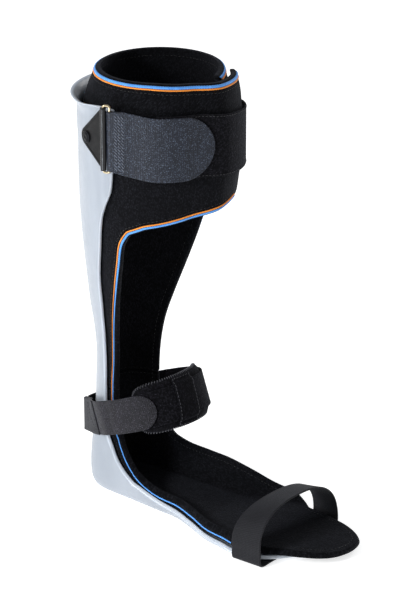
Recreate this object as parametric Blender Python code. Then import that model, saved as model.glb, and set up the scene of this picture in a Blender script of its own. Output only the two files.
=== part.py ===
"""Right ankle foot orthosis: a one-piece moulded shell, a fabric liner and its straps.

Metres. +X points to the toes, +Y to the inner side of the leg and +Z up.
The origin is the middle of the flat under the heel.

Shell and liner are sheets laid along one swept surface. Each cross-section of it is a U: level ones down
the leg, a fan of them round the heel and upright ones along the foot. A sheet is cut from a flat pattern
whose coordinates are the distance across from the middle line, a, and the distance along it, s.
"""

import math
from functools import lru_cache

import bmesh
import bpy
import numpy as np
from mathutils import Matrix, Vector
from mathutils.geometry import delaunay_2d_cdt

# Driving dimensions
SHELL_THICKNESS = 0.0030
LINER_THICKNESS = 0.0047
PATCH_THICKNESS = 0.0007
PATCH_CORE = 0.0005
GAP = 0.0003
RIM_HEIGHT = 0.357
SHELL_HEIGHT = 0.337
SHELL_FLARE = 0.0080
FLARE_HEIGHT = 0.012
SEAM_HEIGHT = 0.090
CUFF_BOTTOM = 0.242
CUFF_RISE = 0.019
RIM_DIP = -0.006
LAP = 0.0078
CELL = 0.0100
CREASE_PITCH = 0.0080
CREASE_ROW = 0.0036
FLARE_END = 0.088

# Cords along the liner's edges: distance of each one's middle from the edge
CORD_THICKNESS = 0.0007
CORD_PITCH = 0.0075
BLUE_INSET = 0.0019
BLUE_WIDTH = 0.0015
ORANGE_INSET = 0.0037
ORANGE_WIDTH = 0.0009
ORANGE_END = 0.045
FLAP_CORD_END = 204

# Straps
HOOK_THICKNESS = 0.0011
LOOP_THICKNESS = 0.0012
STRAP_GAP = 0.0006
CALF_STRAP = 0.050
CALF_STRAP_Z = 0.311
HOOK_RING_Z = 0.3142
HOOK_CUFF_Z = 0.3084
HOOK_NARROWING = 0.0018
ANKLE_STRAP = 0.0280
HOOK_LIFT = 0.00275
HOOK_START = -117
HOOK_TIP = -172

# The calf: middle of its round section and outer radii of shell and cuff
CALF_X = 0.0238
SHELL_RADIUS = 0.0619
CUFF_RADIUS = 0.0574

# Bracket, ring and rivets of the calf strap
RIVET_ANGLE = -73.3
RIVET_Z = 0.3115
RIVET_SHANK = 0.0015
RIVET_HOLE = 0.0018
RIVET_TAIL = 0.00045
LOOP_RIVET_ANGLE = -275
PLATE = 0.0015
APEX_RADIUS = 0.0075
BARREL_REACH = 0.0228
BARREL_TOP = 0.3404
BARREL_BOTTOM = 0.2912
BARREL_RADIUS = 0.0023
BARREL_BORE = 0.00125
WIRE = 0.00095
RING_REACH = 0.00485
RING_TOP = 0.3419
RING_BOTTOM = 0.2897

# Ankle strap: a ring whose plane tilts up towards the toes
ANKLE_X = 0.016
ANKLE_Z = 0.072
ANKLE_SLOPE = 0.37
ANKLE_TILT = math.radians(20)
ANKLE_RADIUS = 0.0422
ANKLE_TIP = -45
FOLD_X = -0.0380
FOLD_Y = -0.0188
BACK_X = -0.0358
SHELL_BACK = -0.0330
PAD_INSIDE = 0.033
PAD_OUTSIDE = 0.041
PAD_HEIGHT = 0.0405
PAD_START = -69
PAD_END = 60
KEEPER = 0.0008
KEEPER_START = -21
KEEPER_END = 4
KEEPER_SKEW = 7

# Forefoot strap
# (x, outer side y, inner side y and top height) of the band's two edges
FOREFOOT_BACK = (0.143, -0.0552, 0.0470, 0.0388)
FOREFOOT_FRONT = (0.170, -0.0540, 0.0430, 0.0463)
FOREFOOT_SIDE = 0.010
FOREFOOT_SHAPE = 2.5
FOREFOOT_SKEW = -0.004
FOREFOOT_THICKNESS = 0.0013

# Depths below the swept surface, which is the shell's outside
LINER_TOP = SHELL_THICKNESS + PATCH_THICKNESS + 2 * GAP
LINER_BASE = LINER_TOP + LINER_THICKNESS

# The heel fan turns about a level line through this point
FAN_X = 0.020
FAN_Z = 0.072
FAN_PITCH = 0.055
HEEL_SQUARENESS = 9
FLAT_END = 0.120
QUARTER = math.pi / 2

# Level sections of the leg: height, centre x, reach to the back, half width, squareness
LEG = np.array([
    (0.072, 0.0200, 0.0530, 0.0332, 2.5),
    (0.094, 0.0180, 0.0505, 0.0330, 2.4),
    (0.118, 0.0140, 0.0455, 0.0330, 2.3),
    (0.140, 0.0120, 0.0450, 0.0355, 2.2),
    (0.160, 0.0120, 0.0475, 0.0400, 2.1),
    (0.185, 0.0140, 0.0510, 0.0460, 2.0),
    (0.215, 0.0170, 0.0545, 0.0525, 2.0),
    (0.245, 0.0200, 0.0577, 0.0577, 2.0),
    (0.270, 0.0220, 0.0598, 0.0598, 2.0),
    (0.300, 0.0238, 0.0613, 0.0613, 2.0),
    (0.328, 0.0235, 0.0610, 0.0610, 2.0),
    (0.342, 0.0245, 0.0580, 0.0580, 2.0),
    (0.357, 0.0255, 0.0525, 0.0525, 2.0),
])

# Upright sections of the foot: x, outer side y, inner side y, height of the underside, squareness
FOOT = np.array([
    (0.020, -0.0335, 0.0335, -0.0040, 5.5),
    (0.045, -0.0340, 0.0340, -0.0032, 6.5),
    (0.065, -0.0345, 0.0345, -0.0022, 8.0),
    (0.085, -0.0410, 0.0365, -0.0006, 10.0),
    (0.110, -0.0508, 0.0420, 0.0012, 14.0),
    (0.130, -0.0535, 0.0475, 0.0019, 20.0),
    (0.150, -0.0575, 0.0515, 0.0020, 24.0),
    (0.183, -0.0580, 0.0520, 0.0020, 24.0),
    (0.205, -0.0580, 0.0520, 0.0002, 24.0),
    (0.220, -0.0580, 0.0520, -0.0004, 24.0),
])

BLACK = (0.012, 0.012, 0.014, 1)
CHARCOAL = (0.03, 0.03, 0.034, 1)
FROST = (0.72, 0.78, 0.86, 1)
BLUE = (0.05, 0.20, 0.75, 1)
ORANGE = (0.85, 0.25, 0.03, 1)
BRASS = (0.62, 0.52, 0.34, 1)
STEEL = (0.35, 0.35, 0.37, 1)


# ---------------------------------------------------------------- materials and objects

def material(name, colour, roughness, metallic=0.0):
    made = bpy.data.materials.new(name)
    made.use_nodes = True
    shader = made.node_tree.nodes["Principled BSDF"]
    shader.inputs["Base Color"].default_value = colour
    shader.inputs["Roughness"].default_value = roughness
    shader.inputs["Metallic"].default_value = metallic
    return made


def add_object(name, mesh, look, origin=(0, 0, 0), smooth=True):
    """Puts a mesh made in world places into the scene with its origin on the given point."""
    mesh.transform(Matrix.Translation(-Vector(origin)))
    if smooth:
        mesh.shade_smooth()
        mesh.set_sharp_from_angle(angle=math.radians(35))
    mesh.materials.append(look)
    thing = bpy.data.objects.new(name, mesh)
    thing.location = origin
    bpy.context.scene.collection.objects.link(thing)
    return thing


def mesh_from(name, vertices, faces):
    """A closed mesh whose faces all point out."""
    mesh = bpy.data.meshes.new(name)
    mesh.from_pydata([tuple(v) for v in vertices], [], faces)
    shape = bmesh.new()
    shape.from_mesh(mesh)
    bmesh.ops.recalc_face_normals(shape, faces=shape.faces)
    if shape.calc_volume(signed=True) < 0:
        bmesh.ops.reverse_faces(shape, faces=shape.faces)
    shape.to_mesh(mesh)
    shape.free()
    return mesh


# ---------------------------------------------------------------- the swept surface

def smooth_value(x, table, column):
    """Cubic interpolation down one column of a station table."""
    at = table[:, 0]
    values = table[:, column]
    slopes = np.gradient(values, at)
    i = int(np.clip(np.searchsorted(at, x) - 1, 0, len(at) - 2))
    span = at[i + 1] - at[i]
    t = min(max((x - at[i]) / span, 0.0), 1.0)
    start = (2 * t ** 3 - 3 * t ** 2 + 1) * values[i] + (t ** 3 - 2 * t ** 2 + t) * span * slopes[i]
    end = (3 * t ** 2 - 2 * t ** 3) * values[i + 1] + (t ** 3 - t ** 2) * span * slopes[i + 1]
    return float(start + end)


def ease(t):
    t = min(max(t, 0.0), 1.0)
    return t * t * (3 - 2 * t)


def level(z):
    """Pattern distance s of the level section at a height on the leg."""
    return -(QUARTER * FAN_PITCH + z - FAN_Z)


def upright(x):
    """Pattern distance s of the upright section at x on the foot."""
    return x - FAN_X


@lru_cache(maxsize=None)
def station(s):
    """Centre x, centre y, centre z, turn, reach, half width and squareness of the section at s."""
    if s >= 0:
        x = FAN_X + s
        outer, inner, under, squareness = (smooth_value(x, FOOT, k) for k in (1, 2, 3, 4))
        return x, (outer + inner) / 2, FAN_Z, QUARTER, FAN_Z - under, (inner - outer) / 2, squareness
    if s >= -QUARTER * FAN_PITCH:
        turn = QUARTER + s / FAN_PITCH
        squareness = LEG[0, 4] + (FOOT[0, 4] - LEG[0, 4]) * ease(turn / QUARTER)
        return FAN_X, 0.0, FAN_Z, turn, None, LEG[0, 3], squareness
    z = FAN_Z - s - QUARTER * FAN_PITCH
    centre, reach, half, squareness = (smooth_value(z, LEG, k) for k in (1, 2, 3, 4))
    return centre, 0.0, z, 0.0, reach, half, squareness


def fan_reach(turn, depth):
    """Distance from the fan line to the heel's squared-off side profile."""
    back = LEG[0, 2] - depth
    under = FAN_Z - FOOT[0, 3] - depth
    m = HEEL_SQUARENESS
    return ((math.cos(turn) / back) ** m + (math.sin(turn) / under) ** m) ** (-1 / m)


def at_angle(s, angle, depth=0.0):
    """The point of a section at an angle from its middle line, depth below the swept surface."""
    x, y, z, turn, reach, half, squareness = station(s)
    reach = fan_reach(turn, depth) if reach is None else reach - depth
    half = half - depth
    c = math.cos(angle)
    k = math.sin(angle)
    swell = (abs(c) ** squareness + abs(k) ** squareness) ** (-1 / squareness)
    down = reach * swell * c
    height = z - math.sin(turn) * down
    if turn > 0 and x < FLAT_END:
        height = max(height, depth)
    return np.array((x - math.cos(turn) * down, y + half * swell * k, height))


@lru_cache(maxsize=None)
def girth(s):
    """Angles of a section and the distance round it from its middle line to each."""
    angles = np.radians(np.linspace(0, 250, 251))
    points = np.array([at_angle(s, a) for a in angles])
    steps = np.linalg.norm(np.diff(points, axis=0), axis=1)
    return angles, np.concatenate(((0.0,), np.cumsum(steps)))


def across_at(s, degrees):
    """Pattern distance a of the point at an angle on section s."""
    angles, lengths = girth(s)
    angle = math.radians(degrees)
    return math.copysign(float(np.interp(abs(angle), angles, lengths)), angle)


def lap_lift(angle):
    """The outer flap of the cuff rises over the inner one in front."""
    return LAP * ease((-math.degrees(angle) - 158) / 28)


def surface(a, s, depth):
    """The point of the pattern place (a, s), depth below the swept surface."""
    angles, lengths = girth(round(s, 5))
    angle = math.copysign(float(np.interp(abs(a), lengths, angles)), a)
    return at_angle(round(s, 5), angle, depth - lap_lift(angle))


def edge_angle(share, squareness):
    """Angle of the section's point whose reach is the given share of the whole reach."""
    share = max(-1.0, min(1.0, share))
    return math.degrees(math.atan2((1 - abs(share) ** squareness) ** (1 / squareness), share))


def leg_edge(z, x, side):
    """Pattern place of the leg wall's point at a height and x, on side -1 (outer) or 1 (inner)."""
    s = round(level(z), 5)
    centre, _, _, _, reach, _, squareness = station(s)
    return across_at(s, side * edge_angle((centre - x) / reach, squareness)), s


def fan_edge(x, z, side):
    """Pattern place of the heel wall's point at x and z."""
    back = FAN_X - x
    down = FAN_Z - z
    turn = math.atan2(down, back)
    s = round((turn - QUARTER) * FAN_PITCH, 5)
    return across_at(s, side * edge_angle(math.hypot(back, down) / fan_reach(turn, 0), station(s)[6])), s


def foot_edge(x, height, side):
    """Pattern place of the foot wall's point at x and a height."""
    s = round(upright(x), 5)
    _, _, _, _, reach, _, squareness = station(s)
    return across_at(s, side * edge_angle((FAN_Z - height) / reach, squareness)), s


def side_edge(x, z, side):
    """Pattern place of a trim point seen from the side."""
    if z >= FAN_Z:
        return leg_edge(z, x, side)
    if x < FAN_X:
        return fan_edge(x, z, side)
    return foot_edge(x, z, side)


def sole_edge(x, y):
    """Pattern place of a point of the flat sole, seen from above."""
    return y - station(round(upright(x), 5))[1], upright(x)


# ---------------------------------------------------------------- patterns

def rounded(points, radius, steps=4):
    """A closed outline whose corners are replaced by arcs, each point given as (a, s)."""
    out = []
    count = len(points)
    for i, corner in enumerate(points):
        corner = np.array(corner)
        before = np.array(points[i - 1]) - corner
        after = np.array(points[(i + 1) % count]) - corner
        reach = min(radius, np.linalg.norm(before) * 0.45, np.linalg.norm(after) * 0.45)
        start = corner + before / np.linalg.norm(before) * reach
        end = corner + after / np.linalg.norm(after) * reach
        for k in range(steps + 1):
            t = k / steps
            out.append((1 - t) ** 2 * start + 2 * t * (1 - t) * corner + t * t * end)
    return out


def even_spacing(points, pitch):
    """The closed outline again, with points the same distance apart."""
    loop = np.array(list(points) + [points[0]])
    lengths = np.concatenate(((0.0,), np.cumsum(np.linalg.norm(np.diff(loop, axis=0), axis=1))))
    count = max(8, round(lengths[-1] / pitch))
    at = np.linspace(0, lengths[-1], count, endpoint=False)
    return np.column_stack((np.interp(at, lengths, loop[:, 0]), np.interp(at, lengths, loop[:, 1])))


def inside(point, loop):
    """Whether a flat point lies inside a closed loop."""
    x, y = point
    hit = False
    for (x1, y1), (x2, y2) in zip(loop, np.roll(loop, -1, axis=0)):
        if (y1 > y) != (y2 > y) and x < (x2 - x1) * (y - y1) / (y2 - y1) + x1:
            hit = not hit
    return hit


@lru_cache(maxsize=None)
def crease_places():
    """Pattern places in rows along the sole's rounded corners, where a sheet bends most."""
    places = []
    heel_turn = math.atan2(FAN_Z - FOOT[0, 3], LEG[0, 2])
    heel_s = (heel_turn - QUARTER) * FAN_PITCH
    for s in np.arange(heel_s, upright(0.190), CREASE_PITCH):
        s = round(float(s), 5)
        corner = across_at(s, 45)
        for side in (-1, 1):
            places += [(side * (corner + k * CREASE_ROW), s) for k in (-1, 0, 1)]
    for a in np.arange(-2, 3) * CREASE_PITCH:
        places += [(a, heel_s + k * CREASE_ROW) for k in (-1, 0, 1)]
    return np.array(places)


def fill_pattern(loop, pitch):
    """Triangles that fill a closed loop, with their inner points on one staggered lattice."""
    rise = pitch * math.sqrt(3) / 2
    low = np.floor(loop.min(axis=0) / (pitch, rise)).astype(int)
    high = np.ceil(loop.max(axis=0) / (pitch, rise)).astype(int)
    creases = crease_places()
    spots = [((column + 0.5 * (row % 2)) * pitch, row * rise)
             for row in range(low[1], high[1] + 1) for column in range(low[0], high[0] + 1)]
    spots = [p for p in spots if np.linalg.norm(creases - p, axis=1).min() > 0.6 * pitch]
    points = [Vector(p) for p in loop]
    for spot in spots + [tuple(p) for p in creases]:
        if np.linalg.norm(loop - spot, axis=1).min() > 0.35 * pitch and inside(spot, loop):
            points.append(Vector(spot))
    border = list(range(len(loop)))
    flat, _, faces, _, _, _ = delaunay_2d_cdt(points, [], [border], 1, 1e-7)
    return flat, faces


def sheet(name, outline, top, base, pitch=CELL):
    """A closed sheet cut from the pattern, between the depths top(a, s) and base(a, s)."""
    loop = even_spacing(outline, pitch)
    flat, faces = fill_pattern(loop, pitch)
    count = len(flat)
    outer = [surface(p.x, p.y, top(p.x, p.y)) for p in flat]
    inner = [surface(p.x, p.y, base(p.x, p.y)) for p in flat]
    edges = {}
    for face in faces:
        for i, j in zip(face, face[1:] + face[:1]):
            edges[(i, j)] = True
    rim = [(i, j) for i, j in edges if (j, i) not in edges]
    solid = [tuple(f) for f in faces]
    solid += [tuple(i + count for i in reversed(f)) for f in faces]
    solid += [(j, i, i + count, j + count) for i, j in rim]
    return mesh_from(name, outer + inner, solid)


# Trim lines of the liner, seen from the side as (x, z), from the cuff to the foot
LINER_LEG = [(0.0385, 0.236), (0.0310, 0.225), (0.0255, 0.207), (0.0190, 0.187), (0.0110, 0.162),
             (0.0040, 0.137), (0.0000, 0.109), (-0.0013, 0.090)]
LINER_HEEL = [(-0.0013, 0.090), (-0.0007, 0.074), (0.0024, 0.060), (0.0075, 0.046)]
LINER_OUTER_FOOT = [(0.0135, 0.033), (0.0215, 0.0225), (0.0315, 0.0152), (0.0430, 0.0110), (0.056, 0.0095),
                    (0.075, 0.0092), (0.115, 0.0090), (0.138, 0.0088)]
LINER_INNER_FOOT = [(0.0140, 0.0395), (0.0220, 0.0355), (0.0340, 0.0330), (0.0520, 0.0322), (0.072, 0.0308),
                    (0.092, 0.0255), (0.112, 0.0175), (0.130, 0.0120)]
# The front of the liner's sole, seen from above as (x, y), from the inner side round the toes
LINER_TOE = [(0.145, 0.0446), (0.158, 0.0428), (0.172, 0.0403), (0.1870, 0.0375), (0.1990, 0.0325),
             (0.2075, 0.0240), (0.2110, 0.0120), (0.2105, -0.0010), (0.2070, -0.0120), (0.2000, -0.0222),
             (0.189, -0.0320), (0.1765, -0.0400), (0.163, -0.0475), (0.150, -0.0515)]

# Trim lines of the shell, the same way
SHELL_LEG = [(0.0300, 0.290), (0.0270, 0.272), (0.0202, 0.258), (0.0150, 0.245), (0.0090, 0.220),
             (0.0015, 0.192), (-0.0020, 0.167), (-0.0060, 0.142), (-0.0083, 0.119), (-0.0085, 0.089),
             (-0.0078, 0.070), (-0.0050, 0.055), (0.0008, 0.0435), (0.0080, 0.0300)]
SHELL_OUTER_FOOT = [(0.0200, 0.0185), (0.030, 0.0145), (0.044, 0.0100), (0.060, 0.0066), (0.080, 0.0056),
                    (0.100, 0.0056), (0.118, 0.0050), (0.132, 0.0048)]
SHELL_INNER_FOOT = [(0.0200, 0.0240), (0.036, 0.0250), (0.060, 0.0240), (0.080, 0.0190), (0.098, 0.0115),
                    (0.112, 0.0070), (0.122, 0.0048)]
SHELL_FRONT = [(0.136, 0.0425), (0.154, 0.0405), (0.169, 0.0365), (0.180, 0.0280), (0.186, 0.0120), (0.186, -0.0060),
               (0.182, -0.0220), (0.173, -0.0360), (0.161, -0.0465), (0.148, -0.0505)]
SHELL_CORNER = 97
OUTER_FLAP_END = -232
INNER_FLAP_END = 168


def smooth_line(points, steps=5):
    """A smooth open line through the points."""
    p = np.array([points[0]] + list(points) + [points[-1]], float)
    out = []
    for i in range(1, len(p) - 2):
        for t in np.arange(steps) / steps:
            ahead = (p[i + 1] - p[i - 1]) / 2
            after = (p[i + 2] - p[i]) / 2
            out.append((2 * t ** 3 - 3 * t ** 2 + 1) * p[i] + (t ** 3 - 2 * t ** 2 + t) * ahead
                       + (3 * t ** 2 - 2 * t ** 3) * p[i + 1] + (t ** 3 - t ** 2) * after)
    return out + [p[-2]]


def side_line(points, side):
    return [side_edge(x, z, side) for x, z in smooth_line(points)]


def sole_line(points):
    return [sole_edge(x, y) for x, y in smooth_line(points)]


def cuff_row(z, first, last, count=12, slope=0.0):
    """Pattern places along a line of the cuff between two angles; past 125 degrees its height changes."""
    places = []
    for angle in np.linspace(first, last, count):
        s = round(level(z + slope * max(0.0, abs(angle) - 125) / 107), 5)
        places.append((across_at(s, angle), s))
    return places


def calf_liner_outline():
    """The cuff and the leg trough, down to the seam at the ankle."""
    seam = LINER_LEG[:-1] + [(LINER_LEG[-1][0], SEAM_HEIGHT + GAP)]
    points = cuff_row(RIM_HEIGHT, OUTER_FLAP_END, INNER_FLAP_END, 40, RIM_DIP)
    points += cuff_row(CUFF_BOTTOM, INNER_FLAP_END, 124, 12, CUFF_RISE)
    points += side_line(seam, 1) + side_line(seam, -1)[::-1]
    points += cuff_row(CUFF_BOTTOM, -124, OUTER_FLAP_END, 12, CUFF_RISE)
    return rounded(points, 0.009)


def foot_liner_outline():
    """The heel cup and the sole of the liner, from the ankle seam to the toes."""
    seam = [(LINER_HEEL[0][0], SEAM_HEIGHT - GAP)] + LINER_HEEL[1:]
    points = side_line(seam + LINER_INNER_FOOT, 1) + sole_line(LINER_TOE)
    points += side_line(seam + LINER_OUTER_FOOT, -1)[::-1]
    return rounded(points, 0.006)


def shell_outline():
    """The moulded shell: calf shell, narrow strut, heel cup and foot plate."""
    points = cuff_row(SHELL_HEIGHT, -SHELL_CORNER, SHELL_CORNER, 20)
    points += side_line(SHELL_LEG + SHELL_INNER_FOOT, 1) + sole_line(SHELL_FRONT)
    points += side_line(SHELL_LEG + SHELL_OUTER_FOOT, -1)[::-1]
    return rounded(points, 0.006)


def flare(a, s):
    """How far the shell's top rim leans outwards; it fades out towards the two front corners."""
    z = FAN_Z - s - QUARTER * FAN_PITCH
    lean = max(0.0, (z - SHELL_HEIGHT + FLARE_HEIGHT) / FLARE_HEIGHT)
    return SHELL_FLARE * lean ** 2 * ease((FLARE_END - abs(a)) / 0.020)


def make_shell():
    look = material("frosted_polypropylene", FROST, 0.35)
    mesh = sheet("posterior_shell", shell_outline(), lambda a, s: -flare(a, s),
                 lambda a, s: SHELL_THICKNESS - flare(a, s))
    return add_object("posterior_shell", mesh, look)


def make_liner():
    look = material("liner_fabric", BLACK, 0.9)
    for name, outline in (("calf_liner", calf_liner_outline()), ("foot_liner", foot_liner_outline())):
        mesh = sheet(name, outline, lambda a, s: LINER_TOP, lambda a, s: LINER_BASE)
        add_object(name, mesh, look)


# ---------------------------------------------------------------- what is sewn and stuck to the liner

def patch_outline(half, first, last):
    """A rounded rectangle of the pattern, half wide to each side, between two distances along it."""
    points = [(half, first), (half, last), (-half, last), (-half, first)]
    return rounded(points, 0.006)


def make_patches():
    """The hook patches that hold the liner to the shell."""
    look = material("hook_patch", BLACK, 0.8)
    depth = SHELL_THICKNESS + 0.0004
    for name, half, first, last in (("calf_hook_patch", 0.030, level(0.318), level(0.262)),
                                    ("heel_hook_patch", 0.012, level(0.108), level(0.072)),
                                    ("forefoot_hook_patch", 0.022, upright(0.095), upright(0.130))):
        outline = patch_outline(half, first, last)
        mesh = sheet(name, outline, lambda a, s: depth, lambda a, s: depth + PATCH_CORE)
        add_object(name, mesh, look)


def edge_line(side):
    """The liner's free edge from the cuff's flap down the trough and the heel to the toe joint."""
    end = FLAP_CORD_END if side < 0 else INNER_FLAP_END - 3
    foot = LINER_OUTER_FOOT if side < 0 else LINER_INNER_FOOT
    points = cuff_row(CUFF_BOTTOM, side * end, side * 124, 12, CUFF_RISE)
    points += side_line(LINER_LEG[:-1] + LINER_HEEL + foot, side)
    return fillet(points, 0.009)


def fillet(points, radius, steps=5):
    """An open line whose inner corners are replaced by arcs."""
    loop = rounded(points, radius, steps)
    return [np.array(points[0])] + loop[steps + 1:-steps - 1] + [np.array(points[-1])]


def spaced(points, pitch):
    """The open line again, with points the same distance apart."""
    line = np.array(points)
    lengths = np.concatenate(((0.0,), np.cumsum(np.linalg.norm(np.diff(line, axis=0), axis=1))))
    at = np.linspace(0, lengths[-1], max(3, round(lengths[-1] / pitch) + 1))
    return np.column_stack([np.interp(at, lengths, line[:, k]) for k in range(line.shape[1])])


def shifted(line, distance):
    """The open pattern line moved sideways, to the left of its direction."""
    along = np.gradient(line, axis=0)
    along = along / np.linalg.norm(along, axis=1)[:, None]
    return line + distance * np.column_stack((-along[:, 1], along[:, 0]))


def make_cord(name, line, inset, width, look, gap=GAP):
    """A flat cord laid on the liner's outer face, its middle the given inset from the edge line."""
    stations = spaced(line, CORD_PITCH)
    left = shifted(stations, inset + math.copysign(width / 2, inset))
    right = shifted(stations, inset - math.copysign(width / 2, inset))
    top = LINER_TOP - gap - CORD_THICKNESS
    base = LINER_TOP - gap
    rings = [[surface(l[0], l[1], top), surface(r[0], r[1], top), surface(r[0], r[1], base),
              surface(l[0], l[1], base)] for l, r in zip(left, right)]
    add_object(name, tube_mesh(name, rings, False), look)


def tube_mesh(name, rings, closed):
    """A solid skinned over equal rings of points, closed on itself or with flat ends."""
    count = len(rings)
    size = len(rings[0])
    vertices = [p for ring in rings for p in ring]
    faces = []
    for i in range(count if closed else count - 1):
        j = (i + 1) % count
        for k in range(size):
            m = (k + 1) % size
            faces.append((i * size + k, i * size + m, j * size + m, j * size + k))
    if not closed:
        faces.append(tuple(range(size)))
        faces.append(tuple((count - 1) * size + k for k in reversed(range(size))))
    return mesh_from(name, vertices, faces)


def make_cords():
    """The blue and the orange cord along the rim and along both free edges."""
    blue = material("blue_cord", BLUE, 0.6)
    orange = material("orange_cord", ORANGE, 0.6)
    rim = spaced(cuff_row(RIM_HEIGHT, OUTER_FLAP_END + 3, INNER_FLAP_END - 3, 60, RIM_DIP), 0.004)
    make_cord("rim_blue_cord", rim, BLUE_INSET, BLUE_WIDTH, blue, 2.2 * GAP)
    make_cord("rim_orange_cord", rim, ORANGE_INSET, ORANGE_WIDTH, orange, 2.2 * GAP)
    for side, place in ((-1, "outer"), (1, "inner")):
        line = spaced(edge_line(side), 0.004)
        short = np.array([p for p in line if p[1] < upright(ORANGE_END)])
        make_cord(place + "_edge_blue_cord", line, side * BLUE_INSET, BLUE_WIDTH, blue)
        make_cord(place + "_edge_orange_cord", short, side * ORANGE_INSET, ORANGE_WIDTH, orange)


# ---------------------------------------------------------------- rivets and holes

def cutter(name, start, end, radius):
    """A hidden round cutter between two points."""
    tool = rod(name, start, end, radius, 20)
    tool.hide_render = True
    tool.display_type = "WIRE"
    return tool


def rod(name, start, end, radius, count=24):
    """A round bar between two points."""
    start = Vector(start)
    axis = Vector(end) - start
    frame = axis.to_track_quat("Z", "Y")
    rings = []
    for lift in (0, axis.length):
        ring = [frame @ Vector((radius * math.cos(t), radius * math.sin(t), lift)) + start
                for t in np.linspace(0, 2 * math.pi, count, endpoint=False)]
        rings.append(ring)
    thing = bpy.data.objects.new(name, tube_mesh(name, rings, False))
    bpy.context.scene.collection.objects.link(thing)
    return thing


def boolean(thing, tool, operation="DIFFERENCE"):
    step = thing.modifiers.new(tool.name, "BOOLEAN")
    step.operation = operation
    step.solver = "EXACT"
    step.object = tool


def lathe(name, profile, origin, axis, look, count=24):
    """A turned solid: profile of (radius, height) from the axis round to the axis again."""
    frame = Vector(axis).to_track_quat("Z", "Y")
    vertices = [frame @ Vector((0, 0, profile[0][1]))]
    for radius, height in profile[1:-1]:
        vertices += [frame @ Vector((radius * math.cos(t), radius * math.sin(t), height))
                     for t in np.linspace(0, 2 * math.pi, count, endpoint=False)]
    vertices.append(frame @ Vector((0, 0, profile[-1][1])))
    rows = len(profile) - 2
    faces = [(0, 1 + (k + 1) % count, 1 + k) for k in range(count)]
    for row in range(rows - 1):
        first = 1 + row * count
        faces += [(first + k, first + (k + 1) % count, first + count + (k + 1) % count, first + count + k)
                  for k in range(count)]
    last = 1 + (rows - 1) * count
    faces += [(last + k, last + (k + 1) % count, len(vertices) - 1) for k in range(count)]
    mesh = mesh_from(name, [v + Vector(origin) for v in vertices], faces)
    return add_object(name, mesh, look, origin)


def rivet(name, foot, out, inner, outer, look, head=0.0034):
    """A rivet along the direction out: its tail lies at height inner and its domed head sits on height outer."""
    profile = [(0, inner - RIVET_TAIL), (0.0026, inner - RIVET_TAIL), (0.0028, inner), (RIVET_SHANK, inner),
               (RIVET_SHANK, outer), (head, outer), (head - 0.0002, outer + 0.0004), (0.0018, outer + 0.0008),
               (0, outer + 0.0010)]
    return lathe(name, profile, foot, out, look)


# ---------------------------------------------------------------- straps

def cuff_point(angle, radius, z=0.0):
    """A point round the calf; 0 degrees is the back and -90 the outer side."""
    turn = math.radians(angle)
    return np.array((CALF_X - radius * math.cos(turn), radius * math.sin(turn), z))


def arc(centre, radius, first, last, count):
    """Points of a circle in a plane, from one angle in degrees to another."""
    return [np.array((centre[0] + radius * math.cos(t), centre[1] + radius * math.sin(t)))
            for t in np.radians(np.linspace(first, last, count))]


def ribbon(name, path, across, halves, thickness, look, origin=(0, 0, 0), closed=False):
    """A flat strap along a path; across is its width direction and halves its half width at each point."""
    path = np.array(path)
    along = np.gradient(path, axis=0)
    if closed:
        along = np.roll(path, -1, axis=0) - np.roll(path, 1, axis=0)
    rings = []
    for p, direction, w, half in zip(path, along, across, halves):
        w = np.array(w) / np.linalg.norm(w)
        n = np.cross(direction, w)
        n = n / np.linalg.norm(n) * thickness / 2
        rings.append([p - w * half - n, p + w * half - n, p + w * half + n, p - w * half + n])
    return add_object(name, tube_mesh(name, rings, closed), look, origin)


def tip_halves(path, half, radius):
    """Half widths of a strap whose last end is rounded."""
    path = np.array(path)
    steps = np.linalg.norm(np.diff(path, axis=0), axis=1)
    left = np.concatenate((np.cumsum(steps[::-1])[::-1], (0.0,)))
    return [half - radius + radius * math.sqrt(max(0.05, 1 - max(0.0, 1 - d / radius) ** 2)) for d in left]


def loop_radius(angle):
    """Middle radius of the calf loop strap round the cuff, at an angle from -130 to -285 degrees."""
    over_cuff = CUFF_RADIUS + lap_lift(math.radians(angle)) + STRAP_GAP + LOOP_THICKNESS / 2
    on_shell = SHELL_RADIUS + GAP + LOOP_THICKNESS / 2
    return over_cuff + (on_shell - over_cuff) * ease((-angle - 238) / 24)


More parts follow.
